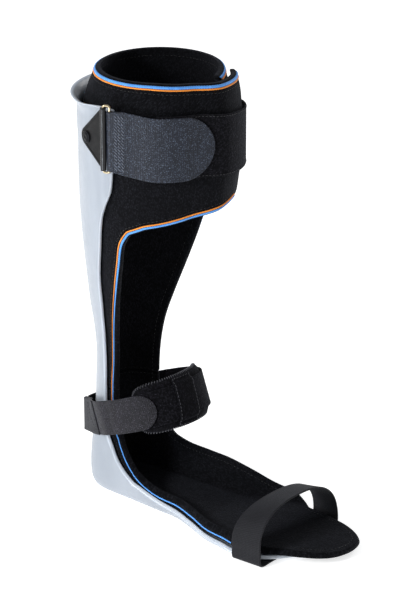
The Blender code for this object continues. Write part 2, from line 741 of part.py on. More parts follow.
def make_calf_straps(shell):
    webbing = material("hook_webbing", CHARCOAL, 0.7)
    pile = material("loop_pile", BLACK, 0.95)
    out = math.radians(RIVET_ANGLE)
    normal = np.array((-math.cos(out), math.sin(out), 0))
    along = np.array((-math.sin(out), -math.cos(out), 0))
    seat = cuff_point(RIVET_ANGLE, SHELL_RADIUS, RIVET_Z)
    plate = seat + normal * (GAP + PLATE / 2)
    barrel = plate + along * BARREL_REACH
    make_bracket(plate, along, normal, barrel)
    metal = material("rivet_steel", STEEL, 0.35, 1.0)
    rivet("bracket_rivet", seat, normal, -SHELL_THICKNESS - 0.0007, 2 * GAP + PLATE, metal, 0.0047)
    hole = cutter("bracket_rivet_hole", seat - normal * 0.008, seat + normal * 0.008, RIVET_HOLE)
    boolean(shell, hole)
    boolean(bpy.data.objects["calf_bracket"], hole)

    target = cuff_point(HOOK_START, CUFF_RADIUS + HOOK_LIFT)
    toward = target[:2] - barrel[:2]
    toward = toward / np.linalg.norm(toward)
    bar = barrel[:2] + toward * RING_REACH
    make_ring(barrel, toward)
    make_calf_hook(bar, toward, webbing)

    angles = list(np.arange(-130, -287, -4.0))
    middle = np.interp(angles, (-284, -265, -225, -165, -130), (0.2945, 0.296, 0.302, 0.309, 0.3100))
    halves = np.interp(angles, (-225, -165), (0.0230, 0.0247))
    path = [cuff_point(t, loop_radius(t), z) for t, z in zip(angles, middle)]
    strap = ribbon("calf_loop_strap", path, [(0, 0, 1)] * len(path), halves, LOOP_THICKNESS, pile)
    seat = cuff_point(LOOP_RIVET_ANGLE, SHELL_RADIUS, 0.2955)
    turn = math.radians(LOOP_RIVET_ANGLE)
    normal = np.array((-math.cos(turn), math.sin(turn), 0))
    rivet("calf_loop_rivet", seat, normal, -SHELL_THICKNESS - 0.0012, 2 * GAP + LOOP_THICKNESS, metal)
    hole = cutter("calf_loop_rivet_hole", seat - normal * 0.008, seat + normal * 0.008, RIVET_HOLE)
    boolean(shell, hole)
    boolean(strap, hole)


def make_bracket(plate, along, normal, barrel):
    """The triangular plate with its rolled barrel, riveted to the shell."""
    look = material("bracket_nylon", BLACK, 0.35)
    tangent = []
    for end, corner in ((1, BARREL_TOP - 0.001), (-1, BARREL_BOTTOM + 0.001)):
        gap = np.array((BARREL_REACH - BARREL_RADIUS, corner - RIVET_Z))
        distance = np.linalg.norm(gap)
        lean = math.atan2(gap[1], gap[0]) + end * math.acos(APEX_RADIUS / distance)
        tangent.append(math.degrees(lean))
    top, bottom = BARREL_TOP - 0.001 - RIVET_Z, BARREL_BOTTOM + 0.001 - RIVET_Z
    outline = [np.array((BARREL_REACH, top)), np.array((BARREL_REACH - BARREL_RADIUS, top))]
    outline += arc((0, 0), APEX_RADIUS, tangent[0], tangent[1] + 360, 13)
    outline += [np.array((BARREL_REACH - BARREL_RADIUS, bottom)), np.array((BARREL_REACH, bottom))]
    rings = []
    for lift in (-PLATE / 2, PLATE / 2):
        rings.append([plate + along * u + np.array((0, 0, v)) + normal * lift for u, v in outline])
    bracket = add_object("calf_bracket", tube_mesh("calf_bracket", rings, False), look, plate)
    foot = np.array((barrel[0], barrel[1], 0))
    roll = cutter("bracket_barrel", foot + (0, 0, BARREL_BOTTOM), foot + (0, 0, BARREL_TOP), BARREL_RADIUS)
    bore = cutter("bracket_bore", foot + (0, 0, BARREL_BOTTOM - 0.01), foot + (0, 0, BARREL_TOP + 0.01),
                  BARREL_BORE)
    boolean(bracket, roll, "UNION")
    boolean(bracket, bore)


def make_ring(barrel, toward):
    """The rectangular wire ring: one long side turns in the barrel and the strap folds round the other."""
    look = material("ring_brass", BRASS, 0.3, 1.0)
    corner = 0.0016
    spine = []
    for across, z, first in ((RING_REACH - corner, RING_TOP - corner, 90),
                             (RING_REACH - corner, RING_BOTTOM + corner, 0),
                             (corner, RING_BOTTOM + corner, -90), (corner, RING_TOP - corner, -180)):
        spine += arc((across, z), corner, first, first - 90, 5)
    spine = np.array(spine)
    ahead = np.roll(spine, -1, axis=0) - np.roll(spine, 1, axis=0)
    ahead = ahead / np.linalg.norm(ahead, axis=1)[:, None]
    side = np.array((-toward[1], toward[0], 0))
    flat = np.array((toward[0], toward[1], 0))
    foot = np.array((barrel[0], barrel[1], 0))
    rings = []
    for (u, z), (du, dz) in zip(spine, ahead):
        across = flat * dz - np.array((0, 0, du))
        middle = foot + flat * u + np.array((0, 0, z))
        rings.append([middle + WIRE * (across * math.cos(t) + side * math.sin(t))
                      for t in np.linspace(0, 2 * math.pi, 12, endpoint=False)])
    add_object("strap_ring", tube_mesh("strap_ring", rings, True), look, foot + (0, 0, RIVET_Z))


def make_calf_hook(bar, toward, look):
    """The hook strap: doubled and sewn round the ring's outer bar, then round the cuff to a rounded tip."""
    outward = np.array((toward[1], -toward[0]))
    wrap = WIRE + 0.00015 + HOOK_THICKNESS / 2
    local = [(0.012, -0.0009), (0.008, -0.0003), (0.0045, -0.0002), (0.0030, -0.0007), (0.0015, -0.00135)]
    local += [(wrap * math.cos(t), wrap * math.sin(t)) for t in np.radians(np.linspace(265, 90, 9))]
    local += [(0.0020, 0.00160), (0.006, 0.00130), (0.012, 0.0007), (0.018, 0.0002)]
    path = [np.append(bar + toward * u + outward * v, 0) for u, v in local]
    for angle in list(np.arange(HOOK_START - 1, HOOK_TIP + 20, -5.0)) + list(np.linspace(HOOK_TIP + 18, HOOK_TIP, 9)):
        path.append(cuff_point(angle, CUFF_RADIUS + HOOK_LIFT + lap_lift(math.radians(angle))))
    path = np.array(path)
    along = np.concatenate(((0.0,), np.cumsum(np.linalg.norm(np.diff(path, axis=0), axis=1))))
    reach = np.abs(along - along[9])
    path[:, 2] = [HOOK_CUFF_Z + (HOOK_RING_Z - HOOK_CUFF_Z) * (1 - ease(s / 0.042)) for s in reach]
    halves = tip_halves(path, CALF_STRAP / 2, CALF_STRAP / 2)
    halves = [half - HOOK_NARROWING * (1 - ease(s / 0.018)) for half, s in zip(halves, reach)]
    ribbon("calf_hook_strap", path, [(0, 0, 1)] * len(path), halves, HOOK_THICKNESS, look,
           (bar[0], bar[1], CALF_STRAP_Z))


def ankle_point(x, y):
    """A point of the ankle strap's tilted middle plane."""
    return np.array((x, y, ANKLE_Z + ANKLE_SLOPE * x))


def ankle_across(x):
    """Width direction of the ankle strap: upright behind the heel, square to its plane in front."""
    lean = ANKLE_TILT * ease((x + 0.025) / 0.020)
    return np.array((-math.sin(lean), 0, math.cos(lean)))


def ankle_circle(radius, first, last, step=6.0):
    """Points round the instep, by angle from the toes towards the inner side."""
    count = max(2, round(abs(last - first) / step) + 1)
    return [ankle_point(x, y) for x, y in arc((ANKLE_X, 0), radius, first, last, count)]


def make_ankle_straps(shell):
    webbing = material("ankle_webbing", CHARCOAL, 0.7)
    pile = material("ankle_pile", BLACK, 0.95)
    metal = material("ankle_rivet_steel", STEEL, 0.35, 1.0)
    loop = [(FOLD_X + 0.0004, FOLD_Y + 0.0028), (-0.0368, -0.0110), (BACK_X, -0.0062), (BACK_X, 0.0000),
            (BACK_X, 0.0062), (-0.0352, 0.0125), (-0.0325, 0.0200), (-0.0262, 0.0275),
            (-0.0180, 0.0330), (-0.0090, 0.0372), (0.0000, 0.0403)]
    path = [ankle_point(x, y) for x, y in spaced(smooth_line(loop, 4), 0.0045)]
    path += ankle_circle(ANKLE_RADIUS, 104, -75)
    strap = ribbon("ankle_loop_strap", path, [ankle_across(p[0]) for p in path],
                   [ANKLE_STRAP / 2] * len(path), LOOP_THICKNESS, pile)
    seat = np.array((SHELL_BACK, 0, ANKLE_Z + ANKLE_SLOPE * BACK_X))
    face = SHELL_BACK - BACK_X + LOOP_THICKNESS / 2
    rivet("ankle_rivet", seat, (-1, 0, 0), -SHELL_THICKNESS - 0.0004, face + GAP, metal, 0.0040)
    make_spacer(seat, SHELL_BACK - BACK_X - LOOP_THICKNESS / 2)
    hole = cutter("ankle_rivet_hole", seat - (0.008, 0, 0), seat + (0.008, 0, 0), RIVET_HOLE)
    boolean(shell, hole)
    boolean(strap, hole)
    make_ankle_hook(webbing)


def make_spacer(seat, room):
    """The washer that holds the ankle strap off the shell."""
    look = material("spacer_rubber", BLACK, 0.8)
    x = seat[0]
    washer = rod("ankle_washer", (x - GAP, 0, seat[2]), (x - room + GAP, 0, seat[2]), 0.0050)
    bore = cutter("washer_bore", (x + 0.005, 0, seat[2]), (x - room - 0.005, 0, seat[2]), RIVET_HOLE)
    washer.data.materials.append(look)
    boolean(washer, bore)


def make_ankle_hook(look):
    """The ankle's hook strap: a doubled, sewn fold beside the heel and a rounded tip on the instep."""
    fold = np.array((FOLD_X, FOLD_Y))
    toward = np.array((-0.0100, -0.0373)) - fold
    toward = toward / np.linalg.norm(toward)
    outward = np.array((toward[1], -toward[0]))
    turn = HOOK_THICKNESS / 2 + GAP
    local = [(x, -turn) for x in (0.018, 0.012, 0.006, 0.002)]
    local += [(turn * math.cos(t), turn * math.sin(t)) for t in np.radians(np.linspace(270, 90, 7))]
    local += [(x, turn) for x in (0.004, 0.010, 0.015, 0.020)]
    path = [ankle_point(*(fold + toward * u + outward * v)) for u, v in local]
    radius = ANKLE_RADIUS + LOOP_THICKNESS / 2 + 0.0004 + HOOK_THICKNESS / 2
    bend = [(-0.0165, -0.0343), (-0.0113, -0.0375), (-0.0048, -0.0409), (0.0022, -0.0430)]
    circle = arc((ANKLE_X, 0), radius, -99, ANKLE_TIP - 26, 6)
    circle += arc((ANKLE_X, 0), radius, ANKLE_TIP - 22, ANKLE_TIP, 9)
    path += [ankle_point(x, y) for x, y in bend + circle]
    halves = tip_halves(path, ANKLE_STRAP / 2, ANKLE_STRAP / 2)
    ribbon("ankle_hook_strap", path, [ankle_across(p[0]) for p in path], halves, HOOK_THICKNESS, look,
           ankle_point(*fold))


def make_instep_pad():
    """The padded sleeve on the inside of the ankle strap and the keeper sewn over the strap."""
    look = material("pad_fabric", BLACK, 0.9)
    pivot = ankle_point(ANKLE_X, 0)
    path = ankle_circle((PAD_INSIDE + PAD_OUTSIDE) / 2, PAD_START, PAD_END, 7.0)
    rings = []
    lean = ankle_across(ANKLE_X)
    for i, p in enumerate(path):
        end = min(i, len(path) - 1 - i)
        half = PAD_HEIGHT / 2 - (0.004, 0.001, 0, 0)[min(end, 3)]
        radial = p - pivot
        radial = radial / np.linalg.norm(radial)
        deep = (PAD_OUTSIDE - PAD_INSIDE) / 2
        ring = []
        for u, v in ((1, 0.5), (0.9, 0.9), (0.75, 1), (-0.75, 1), (-0.9, 0.9), (-1, 0.5),
                     (-1, -0.5), (-0.9, -0.9), (-0.75, -1), (0.75, -1), (0.9, -0.9), (1, -0.5)):
            ring.append(p + lean * half * u + radial * deep * v)
        rings.append(ring)
    add_object("instep_pad", tube_mesh("instep_pad", rings, False), look, pivot)
    make_keeper(pivot, lean, look)


def make_keeper(pivot, lean, look):
    """A band over the strap whose ends are sewn to the pad above and below it."""
    near = PAD_OUTSIDE + GAP + KEEPER / 2
    far = ANKLE_RADIUS + LOOP_THICKNESS / 2 + GAP + KEEPER / 2
    reach = ANKLE_STRAP / 2
    section = [(near, -reach - 0.0052), (near, -reach - 0.0022), (far, -reach - 0.0004), (far, -reach / 2),
               (far, 0), (far, reach / 2), (far, reach + 0.0004), (near, reach + 0.0022), (near, reach + 0.0052)]
    rings = []
    for angle in np.linspace(KEEPER_START, KEEPER_END, 6):
        turned = [angle - KEEPER_SKEW * (max(0.0, -v) / near / 0.5) ** 2 for _, v in section]
        outer = [ankle_circle(r + KEEPER / 2, t, t)[0] + lean * v for (r, v), t in zip(section, turned)]
        inner = [ankle_circle(r - KEEPER / 2, t, t)[0] + lean * v for (r, v), t in zip(section, turned)]
        rings.append(outer + inner[::-1])
    size = len(rings[0])
    faces = [(i * size + k, i * size + (k + 1) % size, (i + 1) * size + (k + 1) % size, (i + 1) * size + k)
             for i in range(len(rings) - 1) for k in range(size)]
    for first in (0, (len(rings) - 1) * size):
        faces += [(first + k, first + k + 1, first + size - 2 - k, first + size - 1 - k) for k in range(size // 2 - 1)]
    mesh = mesh_from("pad_keeper", [p for ring in rings for p in ring], faces)
    add_object("pad_keeper", mesh, look, pivot)


def forefoot_edge(x, near, far, top):
    """One edge of the forefoot band: an arch over the foot, closed by a flat run under the plate."""
    half = (far - near - FOREFOOT_THICKNESS) / 2
    middle = (far + near) / 2
    base = GAP + FOREFOOT_THICKNESS / 2
    rise = top - FOREFOOT_THICKNESS / 2 - FOREFOOT_SIDE
    points = []
    for t in np.radians(np.arange(0, 181, 9.0)):
        up = abs(math.sin(t)) ** (2 / FOREFOOT_SHAPE)
        out = math.copysign(abs(math.cos(t)) ** (2 / FOREFOOT_SHAPE), math.cos(t))
        points.append((middle + out * half + FOREFOOT_SKEW * up, FOREFOOT_SIDE + up * rise))
    points += arc((middle - half + 0.003, base + 0.003), 0.003, 180, 270, 4)
    points += [(middle + y, base) for y in np.linspace(-0.036, 0.036, 5)]
    points += arc((middle + half - 0.003, base + 0.003), 0.003, 270, 360, 4)
    return [np.array((x, y, z)) for y, z in points]


def make_forefoot_strap():
    """The endless webbing band that goes over the forefoot and under the foot plate."""
    look = material("forefoot_webbing", CHARCOAL, 0.7)
    back = forefoot_edge(*FOREFOOT_BACK)
    front = forefoot_edge(*FOREFOOT_FRONT)
    path = [(p + q) / 2 for p, q in zip(back, front)]
    across = [q - p for p, q in zip(back, front)]
    halves = [np.linalg.norm(w) / 2 for w in across]
    ribbon("forefoot_strap", path, across, halves, FOREFOOT_THICKNESS, look, (0.1565, -0.005, 0.02), True)


def main():
    for thing in list(bpy.data.objects):
        bpy.data.objects.remove(thing)
    shell = make_shell()
    make_liner()
    make_patches()
    make_cords()
    make_calf_straps(shell)
    make_ankle_straps(shell)
    make_instep_pad()
    make_forefoot_strap()


main()
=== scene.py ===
"""Looks of the right ankle foot orthosis: the fabric, straps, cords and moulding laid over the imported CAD.

Metres, in the CAD's own frame: +X to the toes, +Y to the inner side of the leg, +Z up, origin under the heel.
Shell and liner are cut from a pattern (a, s) that lies on one swept surface, exactly as the CAD's are.
"""

import math

import bmesh
import bpy
import numpy as np
from mathutils import Matrix, Vector
from mathutils.geometry import delaunay_2d_cdt


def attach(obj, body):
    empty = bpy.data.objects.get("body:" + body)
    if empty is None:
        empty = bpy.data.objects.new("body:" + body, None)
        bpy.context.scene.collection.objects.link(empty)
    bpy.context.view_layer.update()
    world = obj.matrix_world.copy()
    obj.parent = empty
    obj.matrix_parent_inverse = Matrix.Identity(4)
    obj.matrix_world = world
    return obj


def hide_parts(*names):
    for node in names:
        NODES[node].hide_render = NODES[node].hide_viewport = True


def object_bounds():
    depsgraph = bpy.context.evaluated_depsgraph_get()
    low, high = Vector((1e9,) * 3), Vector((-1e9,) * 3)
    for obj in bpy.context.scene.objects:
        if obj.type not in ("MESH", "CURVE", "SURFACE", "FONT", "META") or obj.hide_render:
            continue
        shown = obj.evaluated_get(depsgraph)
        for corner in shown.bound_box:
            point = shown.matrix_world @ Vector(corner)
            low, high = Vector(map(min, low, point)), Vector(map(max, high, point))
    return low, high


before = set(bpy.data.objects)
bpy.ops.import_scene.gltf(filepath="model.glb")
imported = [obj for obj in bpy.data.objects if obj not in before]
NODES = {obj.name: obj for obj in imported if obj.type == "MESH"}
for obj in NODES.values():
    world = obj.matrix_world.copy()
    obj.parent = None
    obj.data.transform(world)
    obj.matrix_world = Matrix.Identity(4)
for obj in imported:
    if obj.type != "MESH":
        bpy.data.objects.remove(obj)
cad_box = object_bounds()


# ---------------------------------------------------------------- camera, light and floor

# The view: direction, lens in millimetres, and how far the camera stands to the right, up and back
AZIMUTH = math.radians(40)
ELEVATION = math.radians(22)
LENS = 171.3
SENSOR = 36
CAMERA_RIGHT = 0.0504
CAMERA_UP = 0.14715
CAMERA_BACK = 2.306
PART_MIDDLE = (0.03, 0, 0.17)
WORLD_LIGHT = 0.36
FLOOR_SIZE = 6
FLOOR_GLOW = 0.68


def make_camera():
    """The photograph's view, from the front of the outer side and from above."""
    right = Vector((math.cos(AZIMUTH), math.sin(AZIMUTH), 0))
    flat = math.cos(ELEVATION)
    back = Vector((math.sin(AZIMUTH) * flat, -math.cos(AZIMUTH) * flat, math.sin(ELEVATION)))
    up = back.cross(right)
    data = bpy.data.cameras.new("camera")
    data.lens = LENS
    data.sensor_width = SENSOR
    data.clip_start = 0.05
    camera = bpy.data.objects.new("camera", data)
    place = right * CAMERA_RIGHT + up * CAMERA_UP + back * CAMERA_BACK
    camera.matrix_world = Matrix.Translation(place) @ Matrix((right, up, back)).transposed().to_4x4()
    bpy.context.scene.collection.objects.link(camera)
    bpy.context.scene.camera = camera


def area_light(name, place, target, size, power, colour=(1, 1, 1), height=None):
    """A soft lamp aimed at a point: round, or a strip where it has a height."""
    data = bpy.data.lights.new(name, "AREA")
    data.shape = "RECTANGLE" if height else "DISK"
    data.size = size
    data.size_y = height or size
    data.energy = power
    data.color = colour
    lamp = bpy.data.objects.new(name, data)
    lamp.location = place
    lamp.visible_camera = False
    lamp.rotation_euler = (Vector(target) - Vector(place)).to_track_quat("-Z", "Y").to_euler()
    bpy.context.scene.collection.objects.link(lamp)


def make_world():
    """A white backdrop that lights the part less than it shows."""
    world = bpy.data.worlds.new("studio")
    world.use_nodes = True
    nodes, links = world.node_tree.nodes, world.node_tree.links
    backdrop = nodes["Background"]
    backdrop.inputs["Color"].default_value = (0.97, 0.985, 1, 1)
    seen = nodes.new("ShaderNodeLightPath").outputs["Is Camera Ray"]
    strength = nodes.new("ShaderNodeMapRange")
    strength.inputs["To Min"].default_value = WORLD_LIGHT
    strength.inputs["To Max"].default_value = 1.0
    links.new(seen, strength.inputs["Value"])
    links.new(strength.outputs["Result"], backdrop.inputs["Strength"])
    bpy.context.scene.world = world


def make_floor():
    """A pale floor that glows a little, so that only soft shadows show on it."""
    mesh = bpy.data.meshes.new("floor")
    corners = ((-1, -1), (1, -1), (1, 1), (-1, 1))
    mesh.from_pydata([(x * FLOOR_SIZE, y * FLOOR_SIZE, 0) for x, y in corners], [], [(0, 1, 2, 3)])
    floor = bpy.data.objects.new("floor", mesh)
    floor.location = (0, 0, cad_box[0][2] - 0.0003)
    bpy.context.scene.collection.objects.link(floor)
    paint = bpy.data.materials.new("floor_paint")
    paint.use_nodes = True
    shader = paint.node_tree.nodes["Principled BSDF"]
    shader.inputs["Base Color"].default_value = (0.8, 0.8, 0.8, 1)
    shader.inputs["Emission Color"].default_value = (1, 1, 1, 1)
    shader.inputs["Emission Strength"].default_value = FLOOR_GLOW
    shader.inputs["Roughness"].default_value = 0.9
    shader.inputs["Specular IOR Level"].default_value = 0.1
    mesh.materials.append(paint)


def make_studio():
    bpy.context.scene.view_settings.view_transform = "Standard"
    bpy.context.scene.view_settings.look = "None"
    make_world()
    area_light("key", (-0.25, -1.65, 0.95), PART_MIDDLE, 0.55, 23.0)
    area_light("left", (-1.5, -0.5, 0.8), PART_MIDDLE, 0.9, 3.2)
    area_light("strip", (-0.014, -0.665, 0.11), (0.02, -0.05, 0.16), 0.05, 1.3, (0.82, 0.91, 1), 0.21)
    area_light("back", (0.3, 1.6, 1.1), PART_MIDDLE, 1.0, 9.0)
    make_floor()


# ---------------------------------------------------------------- materials

class Look:
    """A Principled material with a small node graph built on it."""

    def __init__(self, name, **values):
        self.material = bpy.data.materials.new(name)
        self.material.use_nodes = True
        self.tree = self.material.node_tree
        self.shader = self.tree.nodes["Principled BSDF"]
        for key, value in values.items():
            self.shader.inputs[key.replace("_", " ")].default_value = value

    def add(self, kind, inputs=None, **settings):
        made = self.tree.nodes.new(kind)
        for key, value in settings.items():
            setattr(made, key, value)
        for key, value in (inputs or {}).items():
            if isinstance(value, bpy.types.NodeSocket):
                self.tree.links.new(value, made.inputs[key])
            else:
                made.inputs[key].default_value = value
        return made

    def place(self, size, flat=True, stretch=(1, 1, 1)):
        """Coordinates in units of size: the piece's own pattern when flat, or its place in space."""
        if flat:
            source = self.add("ShaderNodeUVMap", uv_map="pattern").outputs["UV"]
        else:
            source = self.add("ShaderNodeTexCoord").outputs["Object"]
        scale = tuple(1 / (size * k) for k in stretch)
        return self.add("ShaderNodeMapping", {"Vector": source, "Scale": scale}).outputs["Vector"]

    def noise(self, size, flat=True, detail=2.0, stretch=(1, 1, 1)):
        return self.add("ShaderNodeTexNoise", {"Vector": self.place(size, flat, stretch), "Scale": 1.0,
                                               "Detail": detail}).outputs["Fac"]

    def wave(self, size, axis, flat=True):
        """Ribs across one axis, a full rib every size metres."""
        return self.add("ShaderNodeTexWave", {"Vector": self.place(size, flat), "Scale": math.pi / 10,
                                              "Distortion": 0.0}, bands_direction=axis).outputs["Fac"]

    def cells(self, size, flat=True, stretch=(1, 1, 1), feature="SMOOTH_F1"):
        return self.add("ShaderNodeTexVoronoi", {"Vector": self.place(size, flat, stretch), "Scale": 1.0},
                        feature=feature).outputs["Distance"]

    def maths(self, operation, first, second=0.0, clamp=False):
        made = self.add("ShaderNodeMath", {0: first, 1: second}, operation=operation, use_clamp=clamp)
        return made.outputs[0]

    def mix(self, share, first, second):
        """A share of the way from one colour or number to another."""
        made = self.add("ShaderNodeMix", {"Factor": share}, data_type="RGBA")
        for key, value in (("A", first), ("B", second)):
            socket = [i for i in made.inputs if i.name == key and i.type == "RGBA"][0]
            if isinstance(value, bpy.types.NodeSocket):
                self.tree.links.new(value, socket)
            else:
                socket.default_value = (*value, 1)
        return [o for o in made.outputs if o.type == "RGBA"][0]

    def span(self, value, low, high, out_low=0.0, out_high=1.0):
        return self.add("ShaderNodeMapRange", {"Value": value, "From Min": low, "From Max": high,
                                               "To Min": out_low, "To Max": out_high}).outputs["Result"]

    def finish(self, colour=None, height=None, depth=0.0002, strength=1.0, rough=None):
        if colour is not None:
            self.tree.links.new(colour, self.shader.inputs["Base Color"])
        if rough is not None:
            self.tree.links.new(rough, self.shader.inputs["Roughness"])
        if height is not None:
            bump = self.add("ShaderNodeBump", {"Height": height, "Distance": depth, "Strength": strength})
            self.tree.links.new(bump.outputs["Normal"], self.shader.inputs["Normal"])
        return self.material


def knit_look(name, dark, light, cell):
    """Brushed knit: rows of small loops, speckled, with slow changes of tone."""
    look = Look(name, Roughness=0.92, Specular_IOR_Level=0.10, Sheen_Weight=0.05, Sheen_Roughness=0.45,
                Sheen_Tint=(0.75, 0.8, 1.0, 1))
    loops = look.cells(cell, stretch=(1, 1.5, 1))
    fluff = look.noise(cell * 0.7, detail=3.0)
    tone = look.noise(0.02)
    speck = look.span(look.maths("MULTIPLY", look.maths("SUBTRACT", 1.0, loops), fluff), 0.26, 0.60)
    shade = look.maths("MULTIPLY", speck, look.span(tone, 0.3, 0.7, 0.7, 1.1), True)
    height = look.maths("ADD", look.maths("MULTIPLY", loops, -0.8), look.maths("MULTIPLY", fluff, 0.7))
    return look.finish(look.mix(shade, dark, light), height, cell * 0.45, 0.8)


def pile_look(name, dark, light, flat=True):
    """Unbroken loop: a coarse matted pile."""
    look = Look(name, Roughness=0.95, Specular_IOR_Level=0.08, Sheen_Weight=0.06, Sheen_Roughness=0.5,
                Sheen_Tint=(0.8, 0.84, 1.0, 1))
    tufts = look.cells(0.0016, flat)
    hair = look.noise(0.0009, flat, 4.0)
    tone = look.noise(0.009, flat, 3.0)
    both = look.maths("MULTIPLY", look.maths("SUBTRACT", 1.1, tufts), hair)
    shade = look.maths("MULTIPLY", look.span(both, 0.28, 0.62), look.span(tone, 0.3, 0.7, 0.5, 1.2), True)
    # Sparse bright spots, far paler than the pile: painted sparkle on the tufts
    painted_sparkle = look.maths("MULTIPLY", look.span(look.cells(0.0019, flat, (1, 1, 1), "F1"), 0.30, 0.08),
                       look.span(hair, 0.45, 0.65), True)
    colour = look.mix(painted_sparkle, look.mix(shade, dark, light), tuple(2.8 * k for k in light))
    return look.finish(colour, both, 0.0009, 0.9)


def hook_look(name, dark, light, painted_glint_colour, gloss):
    """Woven hook tape: fine ribs across the strap and rows of tiny hooks, with painted glints on them."""
    look = Look(name, Roughness=0.45, Specular_IOR_Level=gloss, Sheen_Weight=0.06, Sheen_Roughness=0.35,
                Sheen_Tint=(0.75, 0.84, 1.0, 1), Anisotropic=0.75, Anisotropic_Rotation=0.25)
    tangent = look.add("ShaderNodeTangent", direction_type="UV_MAP", uv_map="pattern")
    look.tree.links.new(tangent.outputs["Tangent"], look.shader.inputs["Tangent"])
    ribs = look.wave(HOOK_RIB, "X")
    hooks = look.cells(0.0010, True, (1, 1, 1), "F1")
    grain = look.noise(0.0008, True, 3.0)
    tone = look.noise(0.010, True, 2.0, (0.4, 1.6, 1))
    body = look.maths("ADD", look.maths("MULTIPLY", ribs, 0.35), look.span(grain, 0.35, 0.7, 0.0, 0.65))
    shade = look.maths("MULTIPLY", body, look.span(tone, 0.3, 0.7, 0.55, 1.2), True)
    # Sparse bright dots mixed towards the glint colour: painted highlights on the hooks
    painted_glint = look.maths("MULTIPLY", look.span(hooks, 0.42, 0.12), look.span(grain, 0.38, 0.62), True)
    colour = look.mix(painted_glint, look.mix(shade, dark, light), painted_glint_colour)
    height = look.maths("ADD", body, look.maths("MULTIPLY", look.maths("SUBTRACT", 1.0, hooks), 0.6))
    return look.finish(colour, height, 0.00035, 0.8, look.span(grain, 0.3, 0.7, 0.36, 0.62))


def weave_look(name, dark, light, pitch, specular=0.3, sheen=0.1):
    """Plain woven webbing."""
    look = Look(name, Roughness=0.75, Specular_IOR_Level=specular, Sheen_Weight=sheen, Sheen_Roughness=0.4,
                Sheen_Tint=(0.85, 0.88, 1.0, 1))
    warp = look.wave(pitch, "X")
    weft = look.wave(pitch, "Y")
    grid = look.maths("MULTIPLY", warp, weft)
    yarn = look.noise(pitch * 0.35, True, 3.0, (3, 1, 1))
    tone = look.noise(0.016, True, 2.0)
    shade = look.maths("MULTIPLY", look.maths("ADD", look.maths("MULTIPLY", grid, 0.7),
                                              look.span(yarn, 0.3, 0.7, 0.0, 0.45)),
                       look.span(tone, 0.3, 0.7, 0.8, 1.15), True)
    height = look.maths("ADD", grid, look.maths("MULTIPLY", yarn, 0.3))
    return look.finish(look.mix(shade, dark, light), height, 0.0003, 0.7)


def thread_look(name, dark, light):
    """Twisted yarn, lighter on the crowns of its twist."""
    look = Look(name, Roughness=0.7, Specular_IOR_Level=0.3, Sheen_Weight=0.25, Sheen_Roughness=0.4)
    strand = look.noise(0.0005, False, 3.0)
    tone = look.noise(0.006, False, 2.0)
    both = look.maths("ADD", look.maths("MULTIPLY", strand, 0.7), look.maths("MULTIPLY", tone, 0.3))
    return look.finish(look.mix(look.span(both, 0.3, 0.7), dark, light), strand, 0.0002, 0.6)


def moulding_look(name):
    """Natural polypropylene: milky, its cut edge painted paler as a highlight, with faint drape marks and
    fine scuffs.
    """
    look = Look(name, Roughness=0.34, Specular_IOR_Level=0.5, Coat_Weight=0.12, Coat_Roughness=0.25,
                Subsurface_Weight=0.22, Subsurface_Radius=(0.9, 1.0, 1.1), Subsurface_Scale=0.004)
    edge_highlight = look.add("ShaderNodeAttribute", attribute_name="edge_highlight").outputs["Fac"]
    cloud = look.noise(0.045, False, 3.0)
    streak = look.noise(0.012, False, 2.0, (1, 1, 6))
    scuff = look.noise(0.0018, False, 4.0, (1, 1, 3))
    body = look.mix(look.span(cloud, 0.3, 0.7), (0.268, 0.296, 0.338), (0.314, 0.342, 0.385))
    body = look.mix(look.span(streak, 0.45, 0.75, 0.0, 0.35), body, (0.375, 0.405, 0.45))
    # The cut edge is mixed towards a pale tone: a painted highlight.
    body = look.mix(edge_highlight, body, (0.52, 0.56, 0.62))
    height = look.maths("ADD", look.maths("MULTIPLY", cloud, 0.8), look.maths("MULTIPLY", scuff, 0.05))
    return look.finish(body, height, 0.0012, 0.25, look.span(scuff, 0.3, 0.7, 0.28, 0.44))


def nylon_look(name, rough, colour=(0.010, 0.010, 0.012), grain=0.0006, gloss=0.15):
    """Moulded black nylon with a fine spark-eroded grain and greyer worn places."""
    look = Look(name, Roughness=rough, Specular_IOR_Level=gloss)
    fine = look.noise(grain, False, 3.0)
    wear = look.noise(0.006, False, 4.0)
    body = look.mix(look.span(wear, 0.55, 0.8, 0.0, 0.6), colour, tuple(2.2 * c + 0.002 for c in colour))
    return look.finish(body, fine, 0.00008, 0.5, look.span(wear, 0.3, 0.7, rough * 0.85, rough * 1.25))


def metal_look(name, colour, dull, rough=0.28):
    """Plated metal, brushed by wear, duller in patches."""
    look = Look(name, Roughness=rough, Metallic=1.0)
    wear = look.noise(0.003, False, 4.0)
    brush = look.noise(0.0008, False, 2.0, (1, 1, 8))
    body = look.mix(look.span(wear, 0.4, 0.75), colour, dull)
    return look.finish(body, brush, 0.00006, 0.4, look.span(wear, 0.3, 0.7, rough * 0.8, rough * 1.5))


# ---------------------------------------------------------------- small helpers

def unit(vectors):
    """The vectors drawn out or in to a length of one."""
    return vectors / np.linalg.norm(vectors, axis=-1, keepdims=True)


def along_loop(points):
    """Unit directions along a closed loop of points."""
    return unit(np.roll(points, -1, axis=0) - np.roll(points, 1, axis=0))


def full_turn(count):
    """Angles evenly spaced round a circle."""
    return np.linspace(0, 2 * math.pi, count, endpoint=False)


# ---------------------------------------------------------------- the swept surface

